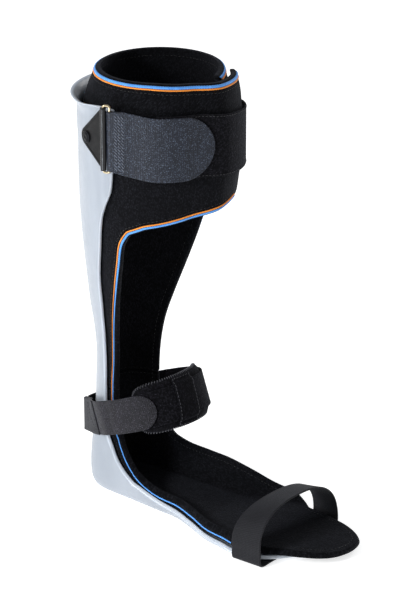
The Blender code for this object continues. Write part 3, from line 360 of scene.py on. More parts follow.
# Sheets: the liner's outer face lies below the swept surface, which is the shell's outer face
SHELL_THICKNESS = 0.0030
SHELL_EDGE = 0.0011
LINER_THICKNESS = 0.0047
LINER_EDGE = 0.0014
LINER_ROLL = 0.0015
SHEET_PITCH = 0.0021
CREASE_PITCH = 0.0009
LINER_TOP = 0.0043
LINER_BASE = LINER_TOP + LINER_THICKNESS
GAP = 0.0003
RIM_HEIGHT = 0.357
SHELL_HEIGHT = 0.337
SHELL_FLARE = 0.0080
FLARE_HEIGHT = 0.012
FLARE_END = 0.088
SEAM_HEIGHT = 0.090
CUFF_BOTTOM = 0.242
CUFF_RISE = 0.019
RIM_DIP = -0.006
LAP = 0.0078
FAN_X = 0.020
FAN_Z = 0.072
FAN_PITCH = 0.055
HEEL_SQUARENESS = 9
FLAT_END = 0.120
QUARTER = math.pi / 2
FAN_START = -QUARTER * FAN_PITCH

# Level sections of the leg: height, centre x, reach to the back, half width, squareness
LEG = np.array([
    (0.072, 0.0200, 0.0530, 0.0332, 2.5),
    (0.094, 0.0180, 0.0505, 0.0330, 2.4),
    (0.118, 0.0140, 0.0455, 0.0330, 2.3),
    (0.140, 0.0120, 0.0450, 0.0355, 2.2),
    (0.160, 0.0120, 0.0475, 0.0400, 2.1),
    (0.185, 0.0140, 0.0510, 0.0460, 2.0),
    (0.215, 0.0170, 0.0545, 0.0525, 2.0),
    (0.245, 0.0200, 0.0577, 0.0577, 2.0),
    (0.270, 0.0220, 0.0598, 0.0598, 2.0),
    (0.300, 0.0238, 0.0613, 0.0613, 2.0),
    (0.328, 0.0235, 0.0610, 0.0610, 2.0),
    (0.342, 0.0245, 0.0580, 0.0580, 2.0),
    (0.357, 0.0255, 0.0525, 0.0525, 2.0),
])

# Upright sections of the foot: x, outer side y, inner side y, height of the underside, squareness
FOOT = np.array([
    (0.020, -0.0335, 0.0335, -0.0040, 5.5),
    (0.045, -0.0340, 0.0340, -0.0032, 6.5),
    (0.065, -0.0345, 0.0345, -0.0022, 8.0),
    (0.085, -0.0410, 0.0365, -0.0006, 10.0),
    (0.110, -0.0508, 0.0420, 0.0012, 14.0),
    (0.130, -0.0535, 0.0475, 0.0019, 20.0),
    (0.150, -0.0575, 0.0515, 0.0020, 24.0),
    (0.183, -0.0580, 0.0520, 0.0020, 24.0),
    (0.205, -0.0580, 0.0520, 0.0002, 24.0),
    (0.220, -0.0580, 0.0520, -0.0004, 24.0),
])


def hermite(at, places, values):
    """Smooth cubic interpolation of rows of values, at many places at once."""
    slopes = np.gradient(values, places, axis=0)
    i = np.clip(np.searchsorted(places, at) - 1, 0, len(places) - 2)
    span = places[i + 1] - places[i]
    t = np.clip((at - places[i]) / span, 0, 1)
    if values.ndim > 1:
        span, t = span[..., None], t[..., None]
    return ((2 * t ** 3 - 3 * t ** 2 + 1) * values[i] + (t ** 3 - 2 * t ** 2 + t) * span * slopes[i]
            + (3 * t ** 2 - 2 * t ** 3) * values[i + 1] + (t ** 3 - t ** 2) * span * slopes[i + 1])


def ease(t):
    """A smooth step from 0 to 1."""
    t = np.clip(t, 0.0, 1.0)
    return t * t * (3 - 2 * t)


def level(z):
    """Pattern distance s of a level section of the leg."""
    return FAN_START - z + FAN_Z


def upright(x):
    """Pattern distance s of an upright section of the foot."""
    return x - FAN_X


def sections(s):
    """Centre x, y, z, turn, reach (none in the fan), half width and squareness of each section."""
    s = np.asarray(s, float)
    foot = s >= 0
    leg = s < FAN_START
    outer, inner, under, square = (hermite(FAN_X + s, FOOT[:, 0], FOOT[:, k]) for k in (1, 2, 3, 4))
    z = FAN_Z - s + FAN_START
    centre, reach, half, leg_square = (hermite(z, LEG[:, 0], LEG[:, k]) for k in (1, 2, 3, 4))
    turn = np.where(foot, QUARTER, np.where(leg, 0.0, QUARTER + s / FAN_PITCH))
    fan_square = LEG[0, 4] + (FOOT[0, 4] - LEG[0, 4]) * ease(turn / QUARTER)
    return (np.where(foot, FAN_X + s, np.where(leg, centre, FAN_X)), np.where(foot, (outer + inner) / 2, 0.0),
            np.where(leg, z, FAN_Z), turn, np.where(foot, FAN_Z - under, np.where(leg, reach, np.nan)),
            np.where(foot, (inner - outer) / 2, np.where(leg, half, LEG[0, 3])),
            np.where(foot, square, np.where(leg, leg_square, fan_square)))


def fan_reach(turn, depth):
    """Distance from the ankle's turning line to the heel, between the leg's sections and the foot's."""
    back = LEG[0, 2] - depth
    under = FAN_Z - FOOT[0, 3] - depth
    m = HEEL_SQUARENESS
    return ((np.abs(np.cos(turn)) / back) ** m + (np.abs(np.sin(turn)) / under) ** m) ** (-1 / m)


def at_angle(s, angle, depth=0.0):
    """Points of sections at angles from their middle line, depth below the swept surface."""
    s, angle, depth = np.broadcast_arrays(np.asarray(s, float), angle, depth)
    x, y, z, turn, reach, half, square = sections(s)
    reach = np.where(np.isnan(reach), fan_reach(turn, depth), reach - depth)
    c, k = np.cos(angle), np.sin(angle)
    swell = (np.abs(c) ** square + np.abs(k) ** square) ** (-1 / square)
    down = reach * swell * c
    height = z - np.sin(turn) * down
    height = np.where((turn > 0) & (x < FLAT_END), np.maximum(height, depth), height)
    return np.stack((x - np.cos(turn) * down, y + (half - depth) * swell * k, height), axis=-1)


# Distance round each section for each angle, and back
ROWS = np.arange(-0.3760, 0.1960, 0.0005)
TURNS = np.radians(np.linspace(0, 250, 251))
ROUND = at_angle(ROWS[:, None], TURNS[None, :])
GIRTHS = np.concatenate((np.zeros((len(ROWS), 1)),
                         np.cumsum(np.linalg.norm(np.diff(ROUND, axis=1), axis=2), axis=1)), axis=1)
STEP = 0.0005
REACHES = np.arange(0, 0.3, STEP)
ANGLES = np.array([np.interp(REACHES, row, TURNS) for row in GIRTHS])


def grid_value(table, row, column):
    """Values between the rows and columns of a table."""
    i = np.clip(np.floor(row).astype(int), 0, table.shape[0] - 2)
    j = np.clip(np.floor(column).astype(int), 0, table.shape[1] - 2)
    p, q = np.clip(row - i, 0, 1), np.clip(column - j, 0, 1)
    return ((1 - p) * ((1 - q) * table[i, j] + q * table[i, j + 1])
            + p * ((1 - q) * table[i + 1, j] + q * table[i + 1, j + 1]))


def angle_of(a, s):
    """Angle on its section of each pattern place."""
    value = grid_value(ANGLES, (np.asarray(s, float) - ROWS[0]) / STEP, np.abs(a) / STEP)
    return np.copysign(value, a)


def across_at(s, degrees):
    """Pattern distance a of the point at an angle on section s."""
    value = grid_value(GIRTHS, (np.asarray(s, float) - ROWS[0]) / STEP, np.abs(np.asarray(degrees, float)))
    return np.copysign(value, degrees)


def lap_lift(angle):
    """The outer flap of the cuff rises over the inner one in front."""
    return LAP * ease((-np.degrees(angle) - 158) / 28)


def surface(a, s, depth):
    """Points of the leg and foot below pattern places; the outer flap of the cuff is lifted."""
    angle = angle_of(a, s)
    return at_angle(s, angle, depth - lap_lift(angle))


def edge_angle(share, square):
    """Angle at which a section crosses a share of its reach."""
    share = max(-1.0, min(1.0, share))
    return math.degrees(math.atan2((1 - abs(share) ** square) ** (1 / square), share))


def side_edge(x, z, side):
    """Pattern place of a trim point seen from the side."""
    if z >= FAN_Z:
        s = level(z)
        centre, _, _, _, reach, _, square = sections(s)
        share = (centre - x) / reach
    elif x < FAN_X:
        back, down = FAN_X - x, FAN_Z - z
        turn = math.atan2(down, back)
        s = (turn - QUARTER) * FAN_PITCH
        square = sections(s)[6]
        share = math.hypot(back, down) / fan_reach(turn, 0)
    else:
        s = upright(x)
        _, _, _, _, reach, _, square = sections(s)
        share = (FAN_Z - z) / reach
    return float(across_at(s, side * edge_angle(float(share), float(square)))), s


def sole_edge(x, y):
    """Pattern place of a trim point seen from above."""
    return y - float(sections(upright(x))[1]), upright(x)


# ---------------------------------------------------------------- patterns

# Trim lines: legs, heels and sides of the foot as x, z seen from the side, toe and front as x, y
LINER_LEG = [(0.0385, 0.236), (0.0310, 0.225), (0.0255, 0.207), (0.0190, 0.187), (0.0110, 0.162),
             (0.0040, 0.137), (0.0000, 0.109), (-0.0013, 0.090)]
LINER_HEEL = [(-0.0013, 0.090), (-0.0007, 0.074), (0.0024, 0.060), (0.0075, 0.046)]
LINER_OUTER_FOOT = [(0.0135, 0.033), (0.0215, 0.0225), (0.0315, 0.0152), (0.0430, 0.0110), (0.056, 0.0095),
                    (0.075, 0.0092), (0.115, 0.0090), (0.138, 0.0088)]
LINER_INNER_FOOT = [(0.0140, 0.0395), (0.0220, 0.0355), (0.0340, 0.0330), (0.0520, 0.0322), (0.072, 0.0308),
                    (0.092, 0.0255), (0.112, 0.0175), (0.130, 0.0120)]
LINER_TOE = [(0.145, 0.0446), (0.158, 0.0428), (0.172, 0.0403), (0.1870, 0.0375), (0.1990, 0.0325),
             (0.2075, 0.0240), (0.2110, 0.0120), (0.2105, -0.0010), (0.2070, -0.0120), (0.2000, -0.0222),
             (0.189, -0.0320), (0.1765, -0.0400), (0.163, -0.0475), (0.150, -0.0515)]
SHELL_LEG = [(0.0300, 0.290), (0.0270, 0.272), (0.0202, 0.258), (0.0150, 0.245), (0.0090, 0.220),
             (0.0015, 0.192), (-0.0020, 0.167), (-0.0060, 0.142), (-0.0083, 0.119), (-0.0085, 0.089),
             (-0.0078, 0.070), (-0.0050, 0.055), (0.0008, 0.0435), (0.0080, 0.0300)]
SHELL_OUTER_FOOT = [(0.0200, 0.0185), (0.030, 0.0145), (0.044, 0.0100), (0.060, 0.0066), (0.080, 0.0056),
                    (0.100, 0.0056), (0.118, 0.0050), (0.132, 0.0048)]
SHELL_INNER_FOOT = [(0.0200, 0.0240), (0.036, 0.0250), (0.060, 0.0240), (0.080, 0.0190), (0.098, 0.0115),
                    (0.112, 0.0070), (0.122, 0.0048)]
SHELL_FRONT = [(0.136, 0.0425), (0.154, 0.0405), (0.169, 0.0365), (0.180, 0.0280), (0.186, 0.0120),
               (0.186, -0.0060), (0.182, -0.0220), (0.173, -0.0360), (0.161, -0.0465), (0.148, -0.0505)]
# Angles round the cuff, in degrees, where the shell, the flaps and the flaps' cords end and where the cuff's
# lower edge begins; then the radii of the patterns' corners
SHELL_CORNER = 97
OUTER_FLAP_END = -232
INNER_FLAP_END = 168
FLAP_CORD_END = 204
CUFF_TURN = 124
CUFF_CORNER = 0.009
FOOT_CORNER = 0.006
CORNER_STEPS = 6


def smooth_line(points, steps=8):
    """A smooth open line through the points."""
    p = np.array([points[0]] + list(points) + [points[-1]], float)
    out = []
    for i in range(1, len(p) - 2):
        for t in np.arange(steps) / steps:
            ahead = (p[i + 1] - p[i - 1]) / 2
            after = (p[i + 2] - p[i]) / 2
            out.append((2 * t ** 3 - 3 * t ** 2 + 1) * p[i] + (t ** 3 - 2 * t ** 2 + t) * ahead
                       + (3 * t ** 2 - 2 * t ** 3) * p[i + 1] + (t ** 3 - t ** 2) * after)
    return out + [p[-2]]


def side_line(points, side):
    return [side_edge(x, z, side) for x, z in smooth_line(points)]


def sole_line(points):
    return [sole_edge(x, y) for x, y in smooth_line(points)]


def cuff_row(z, first, last, count=12, slope=0.0):
    """Pattern places along a line of the cuff between two angles; past 125 degrees its height changes."""
    places = []
    for angle in np.linspace(first, last, count):
        s = level(z + slope * max(0.0, abs(angle) - 125) / 107)
        places.append((float(across_at(s, angle)), s))
    return places


def rounded(points, radius, steps=CORNER_STEPS):
    """A closed outline whose corners are replaced by arcs."""
    out = []
    count = len(points)
    for i, corner in enumerate(points):
        corner = np.array(corner)
        before = np.array(points[i - 1]) - corner
        after = np.array(points[(i + 1) % count]) - corner
        reach = min(radius, np.linalg.norm(before) * 0.45, np.linalg.norm(after) * 0.45)
        start = corner + unit(before) * reach
        end = corner + unit(after) * reach
        for t in np.linspace(0, 1, steps + 1):
            out.append((1 - t) ** 2 * start + 2 * t * (1 - t) * corner + t * t * end)
    return out


def lengths_of(points):
    """Distance of each point along a line."""
    return np.concatenate(((0.0,), np.cumsum(np.linalg.norm(np.diff(points, axis=0), axis=1))))


def spaced(points, pitch, closed=False):
    """The line again, with points the same distance apart."""
    line = np.array(list(points) + ([points[0]] if closed else []), float)
    lengths = lengths_of(line)
    count = max(3, round(lengths[-1] / pitch))
    at = np.linspace(0, lengths[-1], count if closed else count + 1, endpoint=not closed)
    return np.column_stack([np.interp(at, lengths, line[:, k]) for k in range(line.shape[1])])


def calf_liner_outline():
    seam = LINER_LEG[:-1] + [(LINER_LEG[-1][0], SEAM_HEIGHT + GAP)]
    points = cuff_row(RIM_HEIGHT, OUTER_FLAP_END, INNER_FLAP_END, 60, RIM_DIP)
    points += cuff_row(CUFF_BOTTOM, INNER_FLAP_END, CUFF_TURN, 12, CUFF_RISE)
    points += side_line(seam, 1) + side_line(seam, -1)[::-1]
    points += cuff_row(CUFF_BOTTOM, -CUFF_TURN, OUTER_FLAP_END, 12, CUFF_RISE)
    return rounded(points, CUFF_CORNER)


def foot_liner_outline():
    seam = [(LINER_HEEL[0][0], SEAM_HEIGHT - GAP)] + LINER_HEEL[1:]
    points = side_line(seam + LINER_INNER_FOOT, 1) + sole_line(LINER_TOE)
    points += side_line(seam + LINER_OUTER_FOOT, -1)[::-1]
    return rounded(points, FOOT_CORNER)


def shell_outline():
    points = cuff_row(SHELL_HEIGHT, -SHELL_CORNER, SHELL_CORNER, 40)
    points += side_line(SHELL_LEG + SHELL_INNER_FOOT, 1) + sole_line(SHELL_FRONT)
    points += side_line(SHELL_LEG + SHELL_OUTER_FOOT, -1)[::-1]
    return rounded(points, FOOT_CORNER)


def edge_line(side):
    """The liner's free edge from the cuff's flap down the trough and the heel to the toe joint."""
    end = FLAP_CORD_END if side < 0 else INNER_FLAP_END - 3
    foot = LINER_OUTER_FOOT if side < 0 else LINER_INNER_FOOT
    points = cuff_row(CUFF_BOTTOM, side * end, side * CUFF_TURN, 12, CUFF_RISE)
    points += side_line(LINER_LEG[:-1] + LINER_HEEL + foot, side)
    loop = rounded(points, CUFF_CORNER, CORNER_STEPS)
    ends = CORNER_STEPS + 1
    return [np.array(points[0])] + loop[ends:-ends] + [np.array(points[-1])]


def shifted(line, distance):
    """The open pattern line moved sideways, to the left of its direction."""
    along = unit(np.gradient(line, axis=0))
    return line + distance * np.column_stack((-along[:, 1], along[:, 0]))


# ---------------------------------------------------------------- making meshes

def make_piece(name, mesh, look, body, node=None, sharp=None):
    """A closed piece, its faces all pointing out, that rides on a body and may replace a node.

    mesh holds points and faces and, where the piece has them, pattern places and shares of painted highlight
    along the cut edge."""
    vertices, faces, pattern, values = (*mesh, None, None)[:4]
    data = bpy.data.meshes.new(name)
    data.from_pydata([tuple(v) for v in np.asarray(vertices, float)], [], faces)
    shape = bmesh.new()
    shape.from_mesh(data)
    bmesh.ops.recalc_face_normals(shape, faces=shape.faces)
    if shape.calc_volume(signed=True) < 0:
        bmesh.ops.reverse_faces(shape, faces=shape.faces)
    shape.to_mesh(data)
    shape.free()
    if pattern is not None:
        layer = data.uv_layers.new(name="pattern")
        corners = np.zeros(len(data.loops), int)
        data.loops.foreach_get("vertex_index", corners)
        layer.data.foreach_set("uv", np.asarray(pattern, np.float32)[corners].ravel())
    # The values are shares of painted highlight along the cut edge
    if values is not None:
        layer = data.attributes.new("edge_highlight", "FLOAT", "POINT")
        layer.data.foreach_set("value", np.asarray(values, np.float32))
    data.shade_smooth()
    if sharp:
        data.set_sharp_from_angle(angle=math.radians(sharp))
    data.materials.append(look)
    piece = bpy.data.objects.new(name, data)
    bpy.context.scene.collection.objects.link(piece)
    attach(piece, body)
    if node:
        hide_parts(node)
    return piece


def tube_faces(count, size, closed):
    """Faces that skin rings of points, with filled ends when the tube is open."""
    faces = []
    for i in range(count if closed else count - 1):
        j = (i + 1) % count
        for k in range(size):
            m = (k + 1) % size
            faces.append((i * size + k, i * size + m, j * size + m, j * size + k))
    if not closed:
        faces.append(tuple(range(size)))
        faces.append(tuple((count - 1) * size + k for k in reversed(range(size))))
    return faces


def tube_mesh(rings, closed):
    """Points and faces of a tube through rings of points."""
    return np.concatenate(rings), tube_faces(len(rings), len(rings[0]), closed)


def band_faces(count, size, closed):
    """Faces of a flat band whose rings run across its outer face and back across its inner one."""
    faces = [f for f in tube_faces(count, size, closed) if len(f) == 4]
    if not closed:
        for base in (0, (count - 1) * size):
            faces += [(base + k, base + k + 1, base + size - 2 - k, base + size - 1 - k)
                      for k in range(size // 2 - 1)]
    return faces


def inside(points, loop):
    """Which flat points lie inside a closed loop."""
    hit = np.zeros(len(points), bool)
    x, y = points[:, 0], points[:, 1]
    for (x1, y1), (x2, y2) in zip(loop, np.roll(loop, -1, axis=0)):
        if y1 != y2:
            hit ^= ((y1 > y) != (y2 > y)) & (x < (x2 - x1) * (y - y1) / (y2 - y1) + x1)
    return hit


def nearest(points, loop):
    """Distance from each flat point to the nearest of the loop's points."""
    out = np.empty(len(points))
    for i in range(0, len(points), 2000):
        gap = points[i:i + 2000, None, :] - loop[None, :, :]
        out[i:i + 2000] = np.sqrt((gap ** 2).sum(axis=2).min(axis=1))
    return out


def crease_lines():
    """Rows of places along the sole's rounded corners and across the heel's, where a sheet bends most."""
    heel_turn = math.atan2(FAN_Z - FOOT[0, 3], LEG[0, 2])
    heel_s = (heel_turn - QUARTER) * FAN_PITCH
    steps = [k * CREASE_PITCH for k in range(-3, 4)]
    s = np.arange(heel_s, upright(0.215), SHEET_PITCH)
    corner = across_at(s, np.full(len(s), 45.0))
    rows = [np.column_stack((side * (corner + step), s)) for side in (-1, 1) for step in steps]
    width = float(corner[0]) - 0.004
    a = np.arange(-width, width, SHEET_PITCH)
    rows += [np.column_stack((a, np.full(len(a), heel_s + step))) for step in steps]
    return np.concatenate(rows)


def middle_spots(loop):
    """Evenly spread places inside a loop, closer together along the creases."""
    rise = SHEET_PITCH * math.sqrt(3) / 2
    low = np.floor(loop.min(axis=0) / (SHEET_PITCH, rise)).astype(int)
    high = np.ceil(loop.max(axis=0) / (SHEET_PITCH, rise)).astype(int)
    column, row = np.meshgrid(np.arange(low[0], high[0] + 1), np.arange(low[1], high[1] + 1))
    spots = np.column_stack(((column + 0.5 * (row % 2)).ravel() * SHEET_PITCH, row.ravel() * rise))
    creases = crease_lines()
    spots = spots[inside(spots, loop)]
    spots = spots[nearest(spots, creases) > 0.6 * SHEET_PITCH]
    spots = np.concatenate((spots, creases[inside(creases, loop)]))
    return spots[nearest(spots, loop) > 0.45 * SHEET_PITCH]


def fine_sheet(outline, top, base, edge, roll, arc=5):
    """Points, faces, pattern places and weights of the painted edge highlight of a closed sheet whose edge is
    rounded.

    top and base give depths for arrays of (a, s). The rounding reaches edge in from the outline and roll down
    from each face."""
    loop = spaced(outline, SHEET_PITCH, True)
    turned = np.roll(loop, -1, axis=0)
    if (loop[:, 0] * turned[:, 1] - turned[:, 0] * loop[:, 1]).sum() < 0:
        loop = loop[::-1]
    along = along_loop(loop)
    inward = np.column_stack((-along[:, 1], along[:, 0]))
    turns = np.linspace(0, QUARTER, arc + 1)
    rings = [loop + inward * edge * (1 - math.cos(t)) for t in turns]
    drops = [1 - math.sin(t) for t in turns]
    last = rings[-1]
    points = [Vector(p) for p in np.concatenate((last, middle_spots(last)))]
    flat, _, inner, _, _, _ = delaunay_2d_cdt(points, [], [list(range(len(last)))], 1, 1e-8)
    flat = np.array([tuple(p) for p in flat])
    places = np.concatenate(rings[:-1] + [flat])
    drop = np.concatenate([np.full(len(loop), d) for d in drops[:-1]] + [np.zeros(len(flat))])
    count = len(loop)
    faces = []
    for k in range(arc):
        for i in range(count):
            j = (i + 1) % count
            faces.append((k * count + i, k * count + j, (k + 1) * count + j, (k + 1) * count + i))
    faces += [tuple(i + arc * count for i in face) for face in inner]
    a, s = places.T
    upper, lower = top(a, s), base(a, s)
    outer = surface(a, s, upper + drop * roll)
    under = surface(a, s, lower - drop * roll)
    total = len(places)
    solid = faces + [tuple(i + total for i in reversed(f)) for f in faces]
    solid += [(i, i + total, (i + 1) % count + total, (i + 1) % count) for i in range(count)]
    # Weight of the painted highlight along the cut edge
    edge_highlight_weight = np.clip(drop * 3, 0, 1)
    # Pattern places wind on round the edge, so that the weave isn't stretched there
    cloth = np.concatenate([last - inward * edge * (QUARTER - t) for t in turns[:-1]] + [flat])
    wrapped = cloth.copy()
    wrapped[:count] -= inward * 0.0005
    return (np.concatenate((outer, under)), solid, np.concatenate((cloth, wrapped)),
            np.concatenate((edge_highlight_weight, edge_highlight_weight)))


def ripple(a, s):
    """Slow unevenness of soft fabric, from -1 to 1."""
    return (np.sin(a * 190 + 2.1 * np.sin(s * 83)) * np.sin(s * 143 + 1.7 * np.sin(a * 71) + 0.6)
            + 0.5 * np.sin(a * 410 + 1.3) * np.sin(s * 370 + 2.0 * np.sin(a * 95))) / 1.5


def flare(a, s):
    """How far the shell's rim is turned outwards."""
    z = FAN_Z - s + FAN_START
    lean = np.maximum(0.0, (z - SHELL_HEIGHT + FLARE_HEIGHT) / FLARE_HEIGHT)
    return SHELL_FLARE * lean ** 2 * ease((FLARE_END - np.abs(a)) / 0.020)


def make_shell():
    """The one-piece moulding, its cut edge painted paler than its faces as a highlight."""
    mesh = fine_sheet(shell_outline(), lambda a, s: -flare(a, s), lambda a, s: SHELL_THICKNESS - flare(a, s),
                      SHELL_EDGE, SHELL_EDGE, 4)
    look = moulding_look("shell_polypropylene")
    make_piece("shell_moulding", mesh, look, "shell", "posterior_shell")


def liner_top(a, s):
    return LINER_TOP + 0.00012 * (1 + ripple(a, s))


def liner_base(a, s):
    """The inner face, more uneven in the leg than in the foot."""
    return LINER_BASE + (0.0003 - 0.0002 * ease(s / 0.02 + 1)) * ripple(a + 0.02, s * 1.1)


def make_liner():
    """The calf and the foot liner, two padded sheets butted at the ankle seam."""
    look = knit_look("liner_knit", (0.0010, 0.0011, 0.0018), (0.015, 0.0155, 0.020), 0.0011)
    for name, node, outline in (("calf_liner_fabric", "calf_liner", calf_liner_outline()),
                                ("foot_liner_fabric", "foot_liner", foot_liner_outline())):
        mesh = fine_sheet(outline, liner_top, liner_base, LINER_EDGE, LINER_ROLL)[:3]
        make_piece(name, mesh, look, "shell", node)


# Cords: size across, how proud and how tightly twisted they are, and where they thin out down the leg
RIM_BLUE_WIDTH = 0.0019
EDGE_BLUE_WIDTH = 0.0016
ORANGE_WIDTH = 0.0011
CORD_HEIGHT = 0.00075
CORD_TWIST = 0.10
CORD_LAY = 0.0042
THINNING_TOP = 0.235
THINNING_LENGTH = 0.10
BLUE_THINNING = 0.62
ORANGE_THINNING = 0.75
ORANGE_END = 0.070
LINE_PITCH = 0.002


def make_cord(name, node, line, inset, width, look, thinning=0.0):
    """A round twisted cord sewn along an edge, half sunk into the fabric; it thins towards the ankle."""
    stations = spaced(line, 0.0005)
    middle = shifted(stations, inset)
    side = unit(shifted(stations, inset + 0.0004) - middle)
    turns = full_turn(12)
    rings = []
    for p, w, u in zip(middle, side, lengths_of(stations)):
        twist = CORD_TWIST * np.cos(2 * (turns - 2 * math.pi * u / CORD_LAY))
        fullness = 1 - thinning * float(ease((p[1] - level(THINNING_TOP)) / THINNING_LENGTH))
        out = width / 2 * (1 + twist) * fullness * np.cos(turns)
        deep = CORD_HEIGHT * (1 + twist) * (0.4 + 0.6 * fullness) * np.sin(turns)
        rings.append((p[0] + w[0] * out, p[1] + w[1] * out, LINER_TOP - deep))
    faces = tube_faces(len(rings), len(turns), False)
    make_piece(name, (surface(*np.concatenate(rings, axis=1)), faces), look, "shell", node)


def rim_line(inset):
    """The cuff's top rim, between places a few degrees in from its ends."""
    row = cuff_row(RIM_HEIGHT, OUTER_FLAP_END + inset, INNER_FLAP_END - inset, 120, RIM_DIP)
    return spaced(row, LINE_PITCH)


def make_cords():
    """The blue and the orange cord along the rim and along both free edges."""
    blue = thread_look("blue_yarn", (0.045, 0.20, 0.66), (0.14, 0.46, 1.0))
    orange = thread_look("orange_yarn", (0.80, 0.19, 0.015), (1.0, 0.37, 0.045))
    rim = rim_line(3)
    make_cord("rim_cord_blue", "rim_blue_cord", rim, 0.0020, RIM_BLUE_WIDTH, blue)
    make_cord("rim_cord_orange", "rim_orange_cord", rim, 0.0037, ORANGE_WIDTH, orange)
    for side, place in ((-1, "outer_edge_"), (1, "inner_edge_")):
        line = spaced(edge_line(side), LINE_PITCH)
        short = np.array([p for p in line if p[1] < level(ORANGE_END)])
        make_cord(place + "cord_blue", place + "blue_cord", line, side * 0.0019, EDGE_BLUE_WIDTH, blue,
                  BLUE_THINNING)
        make_cord(place + "cord_orange", place + "orange_cord", short, side * 0.0036, ORANGE_WIDTH, orange,
                  ORANGE_THINNING)


# ---------------------------------------------------------------- straps

class Strap:
    """A flat strap laid along a path, with places on it given as (distance along, distance across)."""

    def __init__(self, path, across, half, thickness, closed=False, tip=None, pitch=0.001):
        path, across = np.array(path, float), np.array(across, float)
        half = np.broadcast_to(np.asarray(half, float), (len(path),))
        if closed:
            path, across, half = (np.concatenate((v[-3:], v, v[:4])) for v in (path, across, half))
        coarse = lengths_of(path)
        table = np.column_stack((path, across, half))
        first, last = (coarse[3], coarse[-4]) if closed else (0.0, coarse[-1])
        count = max(8, round((last - first) / pitch))
        at = np.linspace(first, last, count + 1)
        if tip:
            inner = last - tip * (1 - np.cos(np.linspace(QUARTER, 0, 14)))
            at = np.concatenate((at[at < last - tip - pitch / 2], inner))
        if closed:
            at = at[:-1]
        rows = hermite(at, coarse, table)
        self.closed = closed
        self.thickness = thickness
        self.u = at - first
        self.length = last - first
        self.path = rows[:, :3]
        self.wide = unit(rows[:, 3:6])
        self.half = rows[:, 6].copy()
        if tip:
            left = np.clip(1 - (self.length - self.u) / tip, 0, 1)
            self.half = self.half - tip + tip * np.sqrt(np.maximum(0.02, 1 - left ** 2))
        ahead = np.gradient(self.path, axis=0)
        if closed:
            ahead = np.roll(self.path, -1, axis=0) - np.roll(self.path, 1, axis=0)
        self.normal = unit(np.cross(ahead, self.wide))

    def at(self, u, v, height=0.0):
        """Points height above the strap's outer face."""
        u = np.asarray(u, float) % self.length if self.closed else np.asarray(u, float)
        parts = [np.column_stack([np.interp(u, self.u, m[:, k]) for k in range(3)])
                 for m in (self.path, self.wide, self.normal)]
        lift = np.broadcast_to(self.thickness / 2 + height, u.shape)
        return parts[0] + parts[1] * np.asarray(v)[:, None] + parts[2] * lift[:, None]

    def mesh(self, rough=None, selvage=0.06, middle=18):
        """Points, faces and pattern places of the solid strap with rounded, slightly raised selvages."""
        edge = np.array((0.0, 0.00010, 0.00030, 0.0006, 0.0012, 0.0020, 0.0030))
        fill = np.array((0.30, 0.72, 0.95, 1.0 + selvage, 1.0 + selvage, 1.0, 0.97))
        rows, uv = [], []
        limit = self.half.max()
        across = np.concatenate((-limit + edge, np.linspace(-limit + 0.0045, limit - 0.0045, middle),
                                 (limit - edge)[::-1]))
        profile = np.concatenate((fill, np.ones(middle), fill[::-1]))
        for i in range(len(self.u)):
            v = across * self.half[i] / limit
            lift = self.thickness / 2 * profile
            extra = 0.0 if rough is None else rough(self.u[i], v) * np.clip(profile, 0, 1)
            line = self.path[i] + self.wide[i] * v[:, None]
            top = line + self.normal[i] * (lift + extra)[:, None]
            under = line - self.normal[i] * lift[:, None]
            rows.append(np.concatenate((top, under[::-1])))
            uv.append(np.column_stack((np.full(2 * len(v), self.u[i]), np.concatenate((v, v[::-1])))))
        return np.concatenate(rows), band_faces(len(rows), len(rows[0]), self.closed), np.concatenate(uv)


def stitch_mesh(runs, radius=0.00022, length=0.0021, gap=0.0008, sides=6):
    """Small sewn stitches along open lines of points; each run is (points, outward directions)."""
    places = np.array((0.0, 0.14, 0.5, 0.86, 1.0))
    fat = (0.25, 0.8, 1.0, 0.8, 0.25)
    rise = (-0.9, 0.1, 0.45, 0.1, -0.9)
    vertices, faces = [], []
    for points, normals in runs:
        lengths = lengths_of(points)
        for start in np.arange(gap, lengths[-1] - length, length + gap):
            at = start + places * length
            spine = np.column_stack([np.interp(at, lengths, points[:, k]) for k in range(3)])
            out = np.column_stack([np.interp(at, lengths, normals[:, k]) for k in range(3)])
            ahead = unit(spine[-1] - spine[0])
            base = len(vertices)
            for p, n, wide, high in zip(spine, unit(out), fat, rise):
                side = unit(np.cross(ahead, n))
                for t in full_turn(sides):
                    vertices.append(p + radius * (n * high + wide * (side * math.cos(t) + n * math.sin(t))))
            faces += [tuple(i + base for i in f) for f in tube_faces(len(places), sides, False)]
    return np.array(vertices), faces


def strap_run(strap, places, height=0.0001):
    """A sewing line over a strap through (along, across) places."""
    u, v = spaced(places, 0.0006).T
    points = strap.at(u, v, height)
    return points, unit(strap.at(u, v, height + 0.001) - points)


# The calf: places and sizes shared with the CAD
CALF_X = 0.0238
SHELL_RADIUS = 0.0619
CUFF_RADIUS = 0.0574
HOOK_THICKNESS = 0.0011
LOOP_THICKNESS = 0.0012
STRAP_GAP = 0.0006
CALF_STRAP = 0.050
ANKLE_STRAP = 0.0280
HOOK_LIFT = 0.00275
HOOK_START = -117
HOOK_TIP = -172
RIVET_ANGLE = -73.3
RIVET_Z = 0.3115
LOOP_RIVET_ANGLE = -275
LOOP_RIVET_Z = 0.2955
PLATE = 0.0015
APEX_RADIUS = 0.0075
BARREL_REACH = 0.0228
BARREL_TOP = 0.3404
BARREL_BOTTOM = 0.2912
BARREL_RADIUS = 0.0023
BARREL_BORE = 0.00125
WIRE = 0.00095
RING_REACH = 0.00485
RING_TOP = 0.3419
RING_BOTTOM = 0.2897
HOOK_RING_Z = 0.3142
HOOK_CUFF_Z = 0.3084
HOOK_NARROWING = 0.0018
HOOK_RIB = 0.0016
CREASE_ANGLE = 40


def cuff_point(angle, radius, z=0.0):
    """A point round the cuff's upright axis; 0 degrees is the back of the calf."""
    turn = math.radians(angle)
    return np.array((CALF_X - radius * math.cos(turn), radius * math.sin(turn), z))


